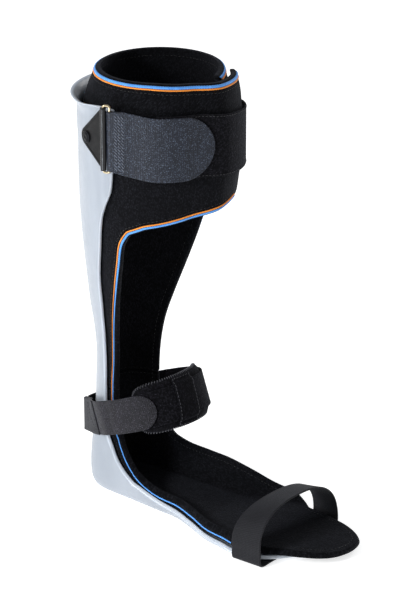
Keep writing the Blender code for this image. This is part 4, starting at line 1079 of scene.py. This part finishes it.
def arc(centre, radius, first, last, count):
    """Flat points along an arc between two angles in degrees."""
    return [np.array((centre[0] + radius * math.cos(t), centre[1] + radius * math.sin(t)))
            for t in np.radians(np.linspace(first, last, count))]


def pile_bumps(scale, seed):
    """Matted tufts of a loop pile, in metres above the strap."""
    def bumps(u, v):
        fine = np.sin(u * 2900 + seed + 2 * np.sin(v * 1700)) * np.sin(v * 3100 + 1.5 * np.sin(u * 1300))
        coarse = np.sin(u * 900 + v * 700 + seed) * np.sin(v * 800 - u * 300)
        return scale * (fine + 0.6 * coarse)
    return bumps


def loop_radius(angle):
    """Where the calf loop band lies: on the cuff, and further round on the shell."""
    over_cuff = CUFF_RADIUS + lap_lift(math.radians(angle)) + STRAP_GAP + LOOP_THICKNESS / 2
    on_shell = SHELL_RADIUS + GAP + LOOP_THICKNESS / 2
    return over_cuff + (on_shell - over_cuff) * ease((-angle - 238) / 24)


def lathe(profile, origin, axis, count=40):
    """A turned solid: profile of (radius, height) from the axis round to the axis again."""
    turned = Vector(axis).to_track_quat("Z", "Y")
    vertices = [turned @ Vector((0, 0, profile[0][1]))]
    for radius, height in profile[1:-1]:
        vertices += [turned @ Vector((radius * math.cos(t), radius * math.sin(t), height))
                     for t in full_turn(count)]
    vertices.append(turned @ Vector((0, 0, profile[-1][1])))
    rows = len(profile) - 2
    faces = [(0, 1 + (k + 1) % count, 1 + k) for k in range(count)]
    for row in range(rows - 1):
        first = 1 + row * count
        faces += [(first + k, first + (k + 1) % count, first + count + (k + 1) % count, first + count + k)
                  for k in range(count)]
    last = 1 + (rows - 1) * count
    faces += [(last + k, last + (k + 1) % count, len(vertices) - 1) for k in range(count)]
    return np.array([tuple(v + Vector(origin)) for v in vertices]), faces


def rivet_profile(inner, outer, head):
    """A rivet from its tail to its low domed head, which has a rolled rim and a dimple."""
    shank, foot = 0.0015, 0.0028
    tail = [(0, inner - 0.00045), (0.0022, inner - 0.00045), (0.0027, inner - 0.0003), (foot, inner)]
    rim = [(head, outer), (head + 0.00002, outer + 0.0002), (head - 0.0003, outer + 0.00045),
           (head - 0.0008, outer + 0.0005), (head - 0.0010, outer + 0.00038),
           (head - 0.0012, outer + 0.00052)]
    dome = [(head * 0.45, outer + 0.00088), (head * 0.25, outer + 0.00086), (head * 0.16, outer + 0.00062),
            (0, outer + 0.00055)]
    return tail + [(shank, inner), (shank, outer)] + rim + dome


def calf_frame():
    """Places that the bracket, the ring and the calf straps share."""
    out = math.radians(RIVET_ANGLE)
    normal = np.array((-math.cos(out), math.sin(out), 0))
    along = np.array((-math.sin(out), -math.cos(out), 0))
    seat = cuff_point(RIVET_ANGLE, SHELL_RADIUS, RIVET_Z)
    plate = seat + normal * (GAP + PLATE / 2)
    barrel = plate + along * BARREL_REACH
    target = cuff_point(HOOK_START, CUFF_RADIUS + HOOK_LIFT)
    return normal, along, seat, plate, barrel, unit(target[:2] - barrel[:2])


def shrunk(outline, inset):
    """A convex outline moved in by the same distance all round."""
    before = outline - np.roll(outline, 1, axis=0)
    after = np.roll(outline, -1, axis=0) - outline
    sides = [unit(np.column_stack((-d[:, 1], d[:, 0]))) for d in (before, after)]
    lean = unit(sides[0] + sides[1])
    return outline + lean * (inset / np.maximum(0.35, (lean * sides[0]).sum(axis=1)))[:, None]


def make_bracket():
    """The riveted plate: round at its apex, straight along the barrel, with a recessed face."""
    normal, along, _, plate, _, _ = calf_frame()
    top, bottom = BARREL_TOP - 0.001 - RIVET_Z, BARREL_BOTTOM + 0.001 - RIVET_Z
    near = BARREL_REACH - BARREL_RADIUS
    tangent = []
    for end, corner in ((1, top), (-1, bottom)):
        lean = math.atan2(corner, near) + end * math.acos(APEX_RADIUS / math.hypot(near, corner))
        tangent.append(math.degrees(lean))
    outline = [np.array((BARREL_REACH, top)), np.array((near, top))]
    outline += arc((0, 0), APEX_RADIUS, tangent[0], tangent[1] + 360, 21)
    outline += [np.array((near, bottom)), np.array((BARREL_REACH, bottom))]
    outline = spaced(outline, 0.0011, True)
    half = PLATE / 2
    steps = ((0.0004, -half), (0.0001, -half + 0.0001), (0, -half + 0.0004), (0, half - 0.0006),
             (0.00012, half - 0.00025), (0.0004, half - 0.00005), (0.0008, half), (0.0021, half),
             (0.0024, half - 0.0001), (0.0026, half - 0.0003), (0.0036, half - 0.00032))
    rings = [[plate + along * u + np.array((0, 0, v)) + normal * lift for u, v in shrunk(outline, inset)]
             for inset, lift in steps]
    mesh = tube_mesh(rings, False)
    look = nylon_look("bracket_nylon", 0.46, (0.0028, 0.0028, 0.0034))
    make_piece("bracket_plate", mesh, look, "shell", "calf_bracket", CREASE_ANGLE)


def make_barrel():
    """The bracket's rolled barrel, bored for the ring's wire, with rounded mouths."""
    barrel = calf_frame()[4]
    height = BARREL_TOP - BARREL_BOTTOM
    section = [(BARREL_BORE, 0.0002), (BARREL_BORE + 0.0002, 0), (BARREL_RADIUS - 0.0004, 0),
               (BARREL_RADIUS - 0.0001, 0.0001), (BARREL_RADIUS, 0.0004)]
    section += [(BARREL_RADIUS, k) for k in np.linspace(0.002, height - 0.002, 9)]
    section += [(r, height - h) for r, h in section[4::-1]]
    section += [(BARREL_BORE, k) for k in (height - 0.001, 0.001)]
    foot = np.array((barrel[0], barrel[1], BARREL_BOTTOM))
    rings = [[foot + (r * math.cos(t), r * math.sin(t), h) for r, h in section] for t in full_turn(40)]
    mesh = tube_mesh(rings, True)
    look = nylon_look("barrel_nylon", 0.2, (0.0022, 0.0026, 0.004), 0.0012, 0.38)
    make_piece("bracket_barrel", mesh, look, "shell", "calf_bracket", CREASE_ANGLE)


def make_rivets():
    """The three rivets, all alike but for their size and place."""
    normal, _, seat, _, _, _ = calf_frame()
    steel = metal_look("rivet_black_steel", (0.014, 0.015, 0.018), (0.007, 0.007, 0.009), 0.42)
    turn = math.radians(LOOP_RIVET_ANGLE)
    loop_seat = cuff_point(LOOP_RIVET_ANGLE, SHELL_RADIUS, LOOP_RIVET_Z)
    heel_seat = (HEEL_BACK, 0, ANKLE_Z + ANKLE_SLOPE * BACK_X)
    heel_lift = HEEL_BACK - BACK_X + LOOP_THICKNESS / 2 + GAP
    # Name, place, direction, tail behind the shell, height of the head's seat, radius of the head
    rivets = (("bracket_rivet", seat, normal, 0.0007, 2 * GAP + PLATE, 0.0047),
              ("calf_loop_rivet", loop_seat, (-math.cos(turn), math.sin(turn), 0), 0.0012,
               2 * GAP + LOOP_THICKNESS, 0.0034),
              ("ankle_rivet", heel_seat, (-1, 0, 0), 0.0004, heel_lift, 0.0040))
    for name, place, out, tail, lift, head in rivets:
        mesh = lathe(rivet_profile(-SHELL_THICKNESS - tail, lift, head), place, out)
        make_piece(name + "_head", mesh, steel, "shell", name, CREASE_ANGLE)


def make_ring():
    """The wire ring: a rounded rectangle, its inner bar in the barrel."""
    _, _, _, _, barrel, toward = calf_frame()
    corner = 0.0016
    spine = []
    for across, z, first in ((RING_REACH - corner, RING_TOP - corner, 90),
                             (RING_REACH - corner, RING_BOTTOM + corner, 0),
                             (corner, RING_BOTTOM + corner, -90), (corner, RING_TOP - corner, -180)):
        spine += arc((across, z), corner, first, first - 90, 9)
    spine = spaced(spine, 0.0004, True)
    side = np.array((-toward[1], toward[0], 0))
    flat = np.append(toward, 0)
    foot = np.array((barrel[0], barrel[1], 0))
    rings = []
    for (u, z), (du, dz) in zip(spine, along_loop(spine)):
        across = flat * dz - np.array((0, 0, du))
        middle = foot + flat * u + np.array((0, 0, z))
        rings.append([middle + WIRE * (across * math.cos(t) + side * math.sin(t)) for t in full_turn(18)])
    look = metal_look("ring_brass", (0.66, 0.55, 0.36), (0.40, 0.32, 0.20))
    make_piece("ring_wire", tube_mesh(rings, True), look, "ring", "strap_ring")


def hook_ribs(height):
    """Fine ribs across a hook strap."""
    return lambda u, v: height * np.sin(u * 2 * math.pi / HOOK_RIB)


def make_calf_hook(look, thread):
    """The hook strap: under the ring's outer bar, round it, and over the cuff to its rounded tip."""
    _, _, _, _, barrel, toward = calf_frame()
    bar = barrel[:2] + toward * RING_REACH
    outward = np.array((toward[1], -toward[0]))
    wrap = WIRE + 0.00015 + HOOK_THICKNESS / 2
    local = [(0.012, -0.0009), (0.008, -0.0003), (0.0045, -0.0002), (0.0030, -0.0007), (0.0015, -0.00135)]
    local += arc((0, 0), wrap, 265, 90, 13)
    start = len(local)
    local += [(0.0020, 0.00160), (0.006, 0.00130), (0.012, 0.0007), (0.018, 0.0002)]
    path = [np.append(bar + toward * u + outward * v, 0) for u, v in local]
    angles = np.concatenate((np.arange(HOOK_START - 1, HOOK_TIP + 20, -5.0),
                             np.linspace(HOOK_TIP + 18, HOOK_TIP, 9)))
    path += [cuff_point(t, CUFF_RADIUS + HOOK_LIFT + lap_lift(math.radians(t))) for t in angles]
    path = np.array(path)
    lengths = lengths_of(path)
    reach = np.abs(lengths - lengths[(5 + start) // 2])
    path[:, 2] = HOOK_CUFF_Z + (HOOK_RING_Z - HOOK_CUFF_Z) * (1 - ease(reach / 0.042))
    halves = CALF_STRAP / 2 - HOOK_NARROWING * (1 - ease(reach / 0.018))
    strap = Strap(path, [(0, 0, 1)] * len(path), halves, HOOK_THICKNESS, tip=CALF_STRAP / 2)
    make_piece("calf_hook_band", strap.mesh(hook_ribs(0.00004)), look, "calf_hook",
               "calf_hook_strap")
    first = lengths_of(path)[start]
    width = 0.0026
    rows = np.linspace(-0.0218, 0.0218, 18)
    runs = []
    for column in range(3):
        near = first + 0.0016 + column * width
        for low, high in zip(rows, rows[1:]):
            runs.append(strap_run(strap, [(near, low), (near + width, high)]))
            runs.append(strap_run(strap, [(near, high), (near + width, low)]))
    make_piece("calf_hook_stitching", stitch_mesh(runs, 0.00026, 0.0032, 0.0004), thread, "calf_hook")


def make_calf_loop(look, thread):
    """The loop band: round the front of the cuff to its rivet, lower and narrower on the far side."""
    angles = np.arange(-130, -287, -4.0)
    middle = np.interp(-angles, (130, 165, 225, 265, 284), (0.3100, 0.309, 0.302, 0.296, 0.2945))
    halves = np.interp(-angles, (165, 225), (0.0247, 0.0230))
    path = [cuff_point(t, loop_radius(t), z) for t, z in zip(angles, middle)]
    strap = Strap(path, [(0, 0, 1)] * len(path), halves, LOOP_THICKNESS)
    make_piece("calf_loop_band", strap.mesh(pile_bumps(0.00008, 0.4), middle=42), look, "shell",
               "calf_loop_strap")
    end = strap.length
    runs = [strap_run(strap, [(end - 0.0015, -0.0215), (end - 0.0015, 0.0215)])]
    at = np.linspace(0.002, end - 0.002, 80)
    edge = np.interp(at, strap.u, strap.half) - 0.0013
    runs += [strap_run(strap, list(zip(at, side * edge))) for side in (-1, 1)]
    make_piece("calf_loop_stitching", stitch_mesh(runs), thread, "shell")


# ---------------------------------------------------------------- the ankle

# The ankle strap, its pad and the pad's keeper; angles go round the instep's axis
ANKLE_X = 0.016
ANKLE_Z = 0.072
ANKLE_SLOPE = 0.37
ANKLE_TILT = math.radians(20)
ANKLE_RADIUS = 0.0422
ANKLE_TIP = -45
FOLD = np.array((-0.0380, -0.0188))
BACK_X = -0.0358
HEEL_BACK = -0.0330
PAD_INSIDE = 0.033
PAD_OUTSIDE = 0.041
PAD_HEIGHT = 0.0405
PAD_START = -69
PAD_END = 60
PAD_MIDDLE = (PAD_START + PAD_END) / 2
PAD_RADIUS = (PAD_INSIDE + PAD_OUTSIDE) / 2
PAD_SQUARENESS = 6.0
PAD_AROUND = 132
OVERLOCK_TURNS = 150
PAD_CAP = 0.0019
METRES_A_DEGREE = 0.00072
KEEPER = 0.0008
KEEPER_START = -21
KEEPER_END = 4
KEEPER_SKEW = 7
KEEPER_NEAR = PAD_OUTSIDE + GAP + KEEPER / 2


def ankle_point(x, y):
    """A point of the ankle strap's middle line, which rises towards the front."""
    return np.array((x, y, ANKLE_Z + ANKLE_SLOPE * x))


def ankle_across(x):
    """Direction across the ankle strap: upright at the heel, leaning back in front."""
    lean = ANKLE_TILT * float(ease((x + 0.025) / 0.020))
    return np.array((-math.sin(lean), 0, math.cos(lean)))


def ankle_circle(radius, first, last, step=6.0):
    """The ankle strap's middle line where it runs round the instep."""
    count = max(2, round(abs(last - first) / step) + 1)
    return [ankle_point(x, y) for x, y in arc((ANKLE_X, 0), radius, first, last, count)]


def make_ankle_loop(look, thread):
    """The loop band: from the fold round the heel and the instep to under the hook strap."""
    loop = [(FOLD[0] + 0.0004, FOLD[1] + 0.0028), (-0.0368, -0.0110), (BACK_X, -0.0062), (BACK_X, 0.0000),
            (BACK_X, 0.0062), (-0.0352, 0.0125), (-0.0325, 0.0200), (-0.0262, 0.0275),
            (-0.0180, 0.0330), (-0.0090, 0.0372), (0.0000, 0.0403)]
    path = [ankle_point(x, y) for x, y in spaced(smooth_line(loop, 4), 0.0045)]
    path += ankle_circle(ANKLE_RADIUS, 104, -75)
    strap = Strap(path, [ankle_across(p[0]) for p in path], ANKLE_STRAP / 2, LOOP_THICKNESS)
    make_piece("ankle_loop_band", strap.mesh(pile_bumps(0.00008, 1.9), middle=26), look, "shell",
               "ankle_loop_strap")
    half = ANKLE_STRAP / 2 - 0.0014
    runs = [strap_run(strap, [(u, -half), (u, half)]) for u in (0.0015, strap.length - 0.0015)]
    make_piece("ankle_loop_stitching", stitch_mesh(runs), thread, "shell")


def make_ankle_hook(look, tab, thread):
    """The strap beside the heel: doubled at its fold under a webbing tab sewn in a crossed box."""
    toward = unit(np.array((-0.0100, -0.0373)) - FOLD)
    outward = np.array((toward[1], -toward[0]))
    turn = HOOK_THICKNESS / 2 + GAP
    local = [(x, -turn) for x in (0.018, 0.012, 0.006, 0.002)] + arc((0, 0), turn, 270, 90, 9)
    start = len(local) - 1
    local += [(x, turn) for x in (0.004, 0.010, 0.015, 0.020)]
    path = [ankle_point(*(FOLD + toward * u + outward * v)) for u, v in local]
    radius = ANKLE_RADIUS + LOOP_THICKNESS / 2 + 0.0004 + HOOK_THICKNESS / 2
    bend = [(-0.0165, -0.0343), (-0.0113, -0.0375), (-0.0048, -0.0409), (0.0022, -0.0430)]
    circle = arc((ANKLE_X, 0), radius, -99, ANKLE_TIP - 26, 6)
    circle += arc((ANKLE_X, 0), radius, ANKLE_TIP - 22, ANKLE_TIP, 9)
    path += [ankle_point(x, y) for x, y in bend + circle]
    across = [ankle_across(p[0]) for p in path]
    strap = Strap(path, across, ANKLE_STRAP / 2, HOOK_THICKNESS, tip=ANKLE_STRAP / 2)
    mesh = strap.mesh(hook_ribs(0.00003), middle=12)
    make_piece("ankle_hook_band", mesh, look, "ankle_hook", "ankle_hook_strap")
    first = lengths_of(np.array(path))[start]
    stations = np.linspace(first + 0.0012, first + 0.0372, 26)
    level_line = np.zeros(len(stations))
    across = [ankle_across(p[0]) for p in strap.at(stations, level_line)]
    cover = Strap(strap.at(stations, level_line, 0.00032), across, ANKLE_STRAP / 2 + 0.0002, 0.00055)
    make_piece("ankle_hook_tab", cover.mesh(None, 0.2, 12), tab, "ankle_hook")
    half = ANKLE_STRAP / 2 - 0.0016
    near, far = 0.0120, 0.0335
    corners = (((near, -half), (near, half)), ((far, -half), (far, half)), ((near, -half), (far, half)),
               ((near, half), (far, -half)), ((near, -half), (far, -half)), ((near, half), (far, half)))
    runs = [strap_run(cover, ends) for ends in corners]
    make_piece("ankle_hook_stitching", stitch_mesh(runs), thread, "ankle_hook")


PIVOT = ankle_point(ANKLE_X, 0)
LEAN = ankle_across(ANKLE_X)


def round_ankle(degrees, radius, lift):
    """A point by angle round the instep, distance from its axis and distance along the strap's width."""
    return ankle_circle(radius, degrees, degrees)[0] + LEAN * lift


def outward_at(degrees):
    """Direction away from the instep's axis."""
    return round_ankle(degrees, 1.0, 0) - round_ankle(degrees, 0.0, 0)


def keeper_angle(degrees, v):
    """The keeper's lower end is drawn round towards the hook strap."""
    return degrees - KEEPER_SKEW * (max(0.0, -v) / KEEPER_NEAR / 0.5) ** 2


def pad_outline(t):
    """Angle and height of the pad's seam at a share of the way round it: a rounded rectangle."""
    c, k = math.cos(2 * math.pi * t), math.sin(2 * math.pi * t)
    swell = (abs(c) ** PAD_SQUARENESS + abs(k) ** PAD_SQUARENESS) ** (-1 / PAD_SQUARENESS)
    return PAD_MIDDLE + (PAD_END - PAD_START) / 2 * swell * c, PAD_HEIGHT / 2 * swell * k


def pad_mesh():
    """The pad before it is stuffed: rings from its seam in to the middle of each face."""
    seam = [pad_outline(t) for t in np.linspace(0, 1, PAD_AROUND, endpoint=False)]
    deep = (PAD_OUTSIDE - PAD_INSIDE) / 2
    wide = math.radians(PAD_END - PAD_START) / 2 * PAD_RADIUS
    insets = (0.0, 0.0006, 0.0016, 0.0032, 0.0054, 0.0080, 0.0110, 0.0145)
    fills = (0.0, 0.34, 0.58, 0.80, 0.92, 0.97, 1.0, 1.0)
    vertices, faces, tops = [], [], []
    for face in (1, -1):
        rows = []
        for inset, fill in zip(insets, fills):
            ids = []
            for angle, lift in seam:
                if inset == 0 and face < 0:
                    ids.append(len(ids))
                    continue
                a = PAD_MIDDLE + (angle - PAD_MIDDLE) * (1 - inset / wide)
                v = lift * (1 - inset / (PAD_HEIGHT / 2))
                vertices.append(round_ankle(a, PAD_RADIUS + face * deep * fill, v))
                tops.append((a, v, face))
                ids.append(len(vertices) - 1)
            rows.append(ids)
        quads = []
        for low, high in zip(rows, rows[1:]):
            quads += [(low[k - 1], low[k], high[k], high[k - 1]) for k in [*range(1, PAD_AROUND), 0]]
        inner = rows[-1]
        last = PAD_AROUND - 1
        quads += [(inner[k], inner[k + 1], inner[last - 1 - k], inner[last - k])
                  for k in range(PAD_AROUND // 2 - 1)]
        faces += [quad if face > 0 else quad[::-1] for quad in quads]
    return np.array(vertices), faces, np.array(tops)


def stuffed(piece, soft, cap, frames=20):
    """Blows the piece up with cloth pressure, holds what isn't soft and caps how far a point may move."""
    mesh = piece.data
    before = np.array([v.co for v in mesh.vertices])
    group = piece.vertex_groups.new(name="held")
    for i, share in enumerate(soft):
        group.add([i], float(1 - share), "REPLACE")
    cloth = piece.modifiers.new("cloth", "CLOTH")
    cloth.settings.use_pressure = True
    cloth.settings.uniform_pressure_force = 4
    cloth.settings.effector_weights.gravity = 0
    cloth.settings.vertex_group_mass = "held"
    cloth.settings.quality = 6
    cloth.settings.tension_stiffness = 12
    cloth.settings.compression_stiffness = 8
    cloth.settings.bending_stiffness = 0.4
    cloth.point_cache.frame_start = 1
    cloth.point_cache.frame_end = frames
    scene = bpy.context.scene
    for at in range(1, frames + 1):
        scene.frame_set(at)
    ready = piece.evaluated_get(bpy.context.evaluated_depsgraph_get())
    after = np.array([v.co for v in ready.data.vertices])
    piece.modifiers.remove(cloth)
    scene.frame_set(1)
    move = after - before
    size = np.linalg.norm(move, axis=1)
    scale = np.where(size > 1e-9, cap * np.tanh(size / np.maximum(cap, 1e-6)) / np.maximum(size, 1e-9), 0)
    mesh.vertices.foreach_set("co", (before + move * scale[:, None]).ravel())
    mesh.update()


def make_cushion(look):
    """The pad, stuffed where neither the strap, its keeper nor the seam holds it down."""
    vertices, faces, tops = pad_mesh()
    angle, lift, face = tops.T
    mesh = vertices, faces, tops[:, :2] * (METRES_A_DEGREE, 1)
    piece = make_piece("instep_pad_cushion", mesh, look, "pad", "instep_pad")
    under_strap = (face > 0) & (np.abs(lift) < ANKLE_STRAP / 2 + 0.0008)
    under_keeper = (face > 0) & (angle > KEEPER_START - 3) & (angle < KEEPER_END + 3)
    on_seam = np.arange(len(tops)) < PAD_AROUND
    soft = np.where(under_strap | under_keeper | on_seam, 0.0, 1.0)
    stuffed(piece, soft, PAD_CAP)
    step = piece.modifiers.new("smooth", "SUBSURF")
    step.levels = step.render_levels = 1


def make_pad_edging(look):
    """Overlock yarn wound round the pad's seam."""
    shares = np.linspace(0, 1, 1600, endpoint=False)
    seam = [pad_outline(t) for t in shares]
    centre = np.array([round_ankle(a, PAD_RADIUS, v) for a, v in seam])
    radial = np.array([outward_at(a) for a, _ in seam])
    inward = unit(np.cross(along_loop(centre), radial))
    toward = PIVOT + radial * PAD_RADIUS - centre
    inward = inward * np.sign((inward * toward).sum(axis=1))[:, None]
    turn = shares * 2 * math.pi * OVERLOCK_TURNS
    spine = centre + inward * (0.0008 - 0.0011 * np.cos(turn))[:, None]
    spine = spine + radial * (0.0016 * np.sin(turn))[:, None]
    along = along_loop(spine)
    side = unit(np.cross(along, radial))
    over = np.cross(side, along)
    rings = [[p + 0.00021 * (w * math.cos(t) + n * math.sin(t)) for t in full_turn(5)]
             for p, w, n in zip(spine, side, over)]
    make_piece("instep_pad_edging", tube_mesh(rings, True), look, "pad")


def make_keeper(look, thread):
    """The band over the ankle strap, sewn to the pad above and below it."""
    near, far = KEEPER_NEAR, ANKLE_RADIUS + LOOP_THICKNESS / 2 + GAP + KEEPER / 2
    reach = ANKLE_STRAP / 2
    section = np.array([
        (near, -reach - 0.0052), (near, -reach - 0.0036), (near, -reach - 0.0022), (far, -reach - 0.0004),
        (far + 0.0001, -reach * 0.5), (far, 0), (far + 0.0001, reach * 0.5), (far, reach + 0.0004),
        (near, reach + 0.0022), (near, reach + 0.0036), (near, reach + 0.0052)])
    lengths = lengths_of(section)
    fine = hermite(np.linspace(0, 1, 61), lengths / lengths[-1], section)
    fills = (0.35, 0.85, *[1.0] * 15, 0.85, 0.35)
    columns = list(zip(np.radians(np.linspace(KEEPER_START, KEEPER_END, len(fills))), fills))
    vertices, places = [], []
    for r, v in fine:
        for flip, row in ((1, columns), (-1, columns[::-1])):
            for wide, fill in row:
                angle = keeper_angle(math.degrees(wide), v)
                vertices.append(round_ankle(angle, r + flip * KEEPER / 2 * fill, v))
                places.append((wide * r, v))
    mesh = vertices, band_faces(len(fine), 2 * len(columns), False), places
    make_piece("keeper_band", mesh, look, "pad", "pad_keeper")
    runs = []
    for degrees in (KEEPER_START + 1.2, KEEPER_END - 1.2):
        line = np.array([round_ankle(keeper_angle(degrees, v), r + KEEPER / 2, v) for r, v in fine])
        runs.append((line, np.tile(outward_at(degrees), (len(line), 1))))
    angles = np.linspace(KEEPER_START + 1, KEEPER_END - 1, 20)
    for v in (-reach - 0.0042, reach + 0.0042):
        line = np.array([round_ankle(keeper_angle(a, v), near + KEEPER / 2, v) for a in angles])
        runs.append((line, np.array([outward_at(a) for a in angles])))
    make_piece("keeper_stitching", stitch_mesh(runs), thread, "pad")


# ---------------------------------------------------------------- the forefoot

# The band's two edges: x, outer side y, inner side y, height of its top
FOREFOOT_BACK = (0.143, -0.0552, 0.0470, 0.0388)
FOREFOOT_FRONT = (0.170, -0.0540, 0.0430, 0.0463)
FOREFOOT_SIDE = 0.010
FOREFOOT_SHAPE = 2.5
FOREFOOT_SKEW = -0.004
FOREFOOT_THICKNESS = 0.0013
FOREFOOT_CORNER = 0.003


def forefoot_edge(x, near, far, top):
    """One edge of the band: a squarish arch over the foot, closed by a flat run under the foot plate."""
    half = (far - near - FOREFOOT_THICKNESS) / 2
    middle = (far + near) / 2
    base = GAP + FOREFOOT_THICKNESS / 2
    rise = top - FOREFOOT_THICKNESS / 2 - FOREFOOT_SIDE
    corner = FOREFOOT_CORNER
    points = []
    for t in np.radians(np.arange(0, 181, 9.0)):
        up = abs(math.sin(t)) ** (2 / FOREFOOT_SHAPE)
        out = math.copysign(abs(math.cos(t)) ** (2 / FOREFOOT_SHAPE), math.cos(t))
        points.append((middle + out * half + FOREFOOT_SKEW * up, FOREFOOT_SIDE + up * rise))
    points += arc((middle - half + corner, base + corner), corner, 180, 270, 4)
    points += [(middle + y, base) for y in np.linspace(-0.036, 0.036, 5)]
    points += arc((middle + half - corner, base + corner), corner, 270, 360, 4)
    return [np.array((x, y, z)) for y, z in points]


def make_forefoot(look, thread):
    """The endless webbing band, sewn where its ends overlap."""
    back = np.array(forefoot_edge(*FOREFOOT_BACK))
    front = np.array(forefoot_edge(*FOREFOOT_FRONT))
    halves = [np.linalg.norm(w) / 2 for w in front - back]
    strap = Strap((back + front) / 2, front - back, halves, FOREFOOT_THICKNESS, True)
    mesh = strap.mesh(None, 0.10, 12)
    make_piece("forefoot_band", mesh, look, "forefoot", "forefoot_strap")
    half = float(strap.half.min()) - 0.0016
    runs = [strap_run(strap, [(u, -half), (u, half)]) for u in (strap.length - 0.046, strap.length - 0.038)]
    make_piece("forefoot_stitching", stitch_mesh(runs), thread, "forefoot")


def surface_run(a, s, depth, step):
    """A sewing line over a face of the liner; its outward side is step further down."""
    points = surface(a, s, np.full(len(a), depth))
    return points, unit(surface(a, s, np.full(len(a), depth + step)) - points)


def make_edge_sewing(thread):
    """Rows of stitches that hold the binding, on the liner's outer and inner faces."""
    lines = [(rim_line(6), 0.0066)]
    lines += [(spaced(edge_line(side), LINE_PITCH), side * 0.0062) for side in (-1, 1)]
    lines.append((spaced(sole_line(LINER_TOE), LINE_PITCH), 0.0050))
    runs = []
    for line, inset in lines:
        a, s = shifted(line, inset).T
        runs.append(surface_run(a, s, LINER_TOP + 0.00008, -0.001))
        runs.append(surface_run(a, s, LINER_BASE - 0.00005, 0.001))
    make_piece("edge_sewing", stitch_mesh(runs, 0.00024, 0.0022, 0.0010), thread, "shell")


def make_seam(thread):
    """Sewing on both sides of the ankle seam, on the liner's inner face."""
    runs = []
    for z in (SEAM_HEIGHT + 0.0022, SEAM_HEIGHT - 0.0022):
        limit = abs(side_edge(LINER_HEEL[0][0], z, 1)[0]) - 0.004
        a = np.linspace(-limit, limit, 120)
        runs.append(surface_run(a, np.full(len(a), level(z)), LINER_BASE + 0.0001, 0.001))
    make_piece("ankle_seam_stitching", stitch_mesh(runs, 0.0002, 0.0024, 0.0009), thread, "shell")


def dress_carried_nodes():
    """Materials for the hidden CAD nodes that no piece replaces."""
    patch = pile_look("patch_hook_tape", (0.004, 0.004, 0.005), (0.02, 0.02, 0.022), False)
    rubber = nylon_look("spacer_rubber", 0.7, (0.012, 0.012, 0.013), 0.001)
    for name, look in (("calf_hook_patch", patch), ("heel_hook_patch", patch), ("forefoot_hook_patch", patch),
                       ("ankle_washer", rubber)):
        slots = NODES[name].material_slots
        for slot in slots:
            slot.material = look
        if not slots:
            NODES[name].data.materials.append(look)


def main():
    make_camera()
    make_studio()
    make_shell()
    make_liner()
    make_cords()
    make_bracket()
    make_barrel()
    make_rivets()
    make_ring()
    black_thread = thread_look("black_thread", (0.004, 0.004, 0.005), (0.03, 0.031, 0.036))
    liner_thread = thread_look("liner_thread", (0.0008, 0.0008, 0.0010), (0.0045, 0.0045, 0.006))
    grey_thread = thread_look("grey_thread", (0.03, 0.03, 0.036), (0.145, 0.145, 0.165))
    keeper_thread = thread_look("keeper_thread", (0.012, 0.012, 0.015), (0.075, 0.075, 0.088))
    # The third colour of each hook tape is the colour of its painted glints
    calf_hook = hook_look("calf_hook_tape", (0.002, 0.0026, 0.0050), (0.019, 0.0245, 0.042),
                          (0.14, 0.175, 0.25), 0.34)
    ankle_hook = hook_look("ankle_hook_tape", (0.0022, 0.0020, 0.003), (0.015, 0.0135, 0.020),
                           (0.09, 0.085, 0.11), 0.2)
    pile = pile_look("loop_pile", (0.0012, 0.0011, 0.0017), (0.015, 0.0142, 0.019))
    seam_thread = thread_look("seam_thread", (0.012, 0.012, 0.014), (0.085, 0.086, 0.098))
    tape_thread = thread_look("tape_thread", (0.055, 0.062, 0.08), (0.26, 0.29, 0.36))
    make_calf_hook(calf_hook, tape_thread)
    make_calf_loop(pile, black_thread)
    make_ankle_loop(pile, black_thread)
    tab = weave_look("ankle_tab_webbing", (0.004, 0.004, 0.005), (0.026, 0.026, 0.031), 0.0014)
    make_ankle_hook(ankle_hook, tab, seam_thread)
    pad_knit = knit_look("pad_knit", (0.0014, 0.0013, 0.0020), (0.014, 0.0130, 0.018), 0.0012)
    make_cushion(pad_knit)
    make_pad_edging(grey_thread)
    make_keeper(pad_knit, keeper_thread)
    webbing = weave_look("forefoot_weave", (0.0035, 0.0035, 0.0045), (0.022, 0.022, 0.027), 0.0013, 0.2, 0.05)
    make_forefoot(webbing, black_thread)
    make_seam(liner_thread)
    make_edge_sewing(liner_thread)
    dress_carried_nodes()


main()
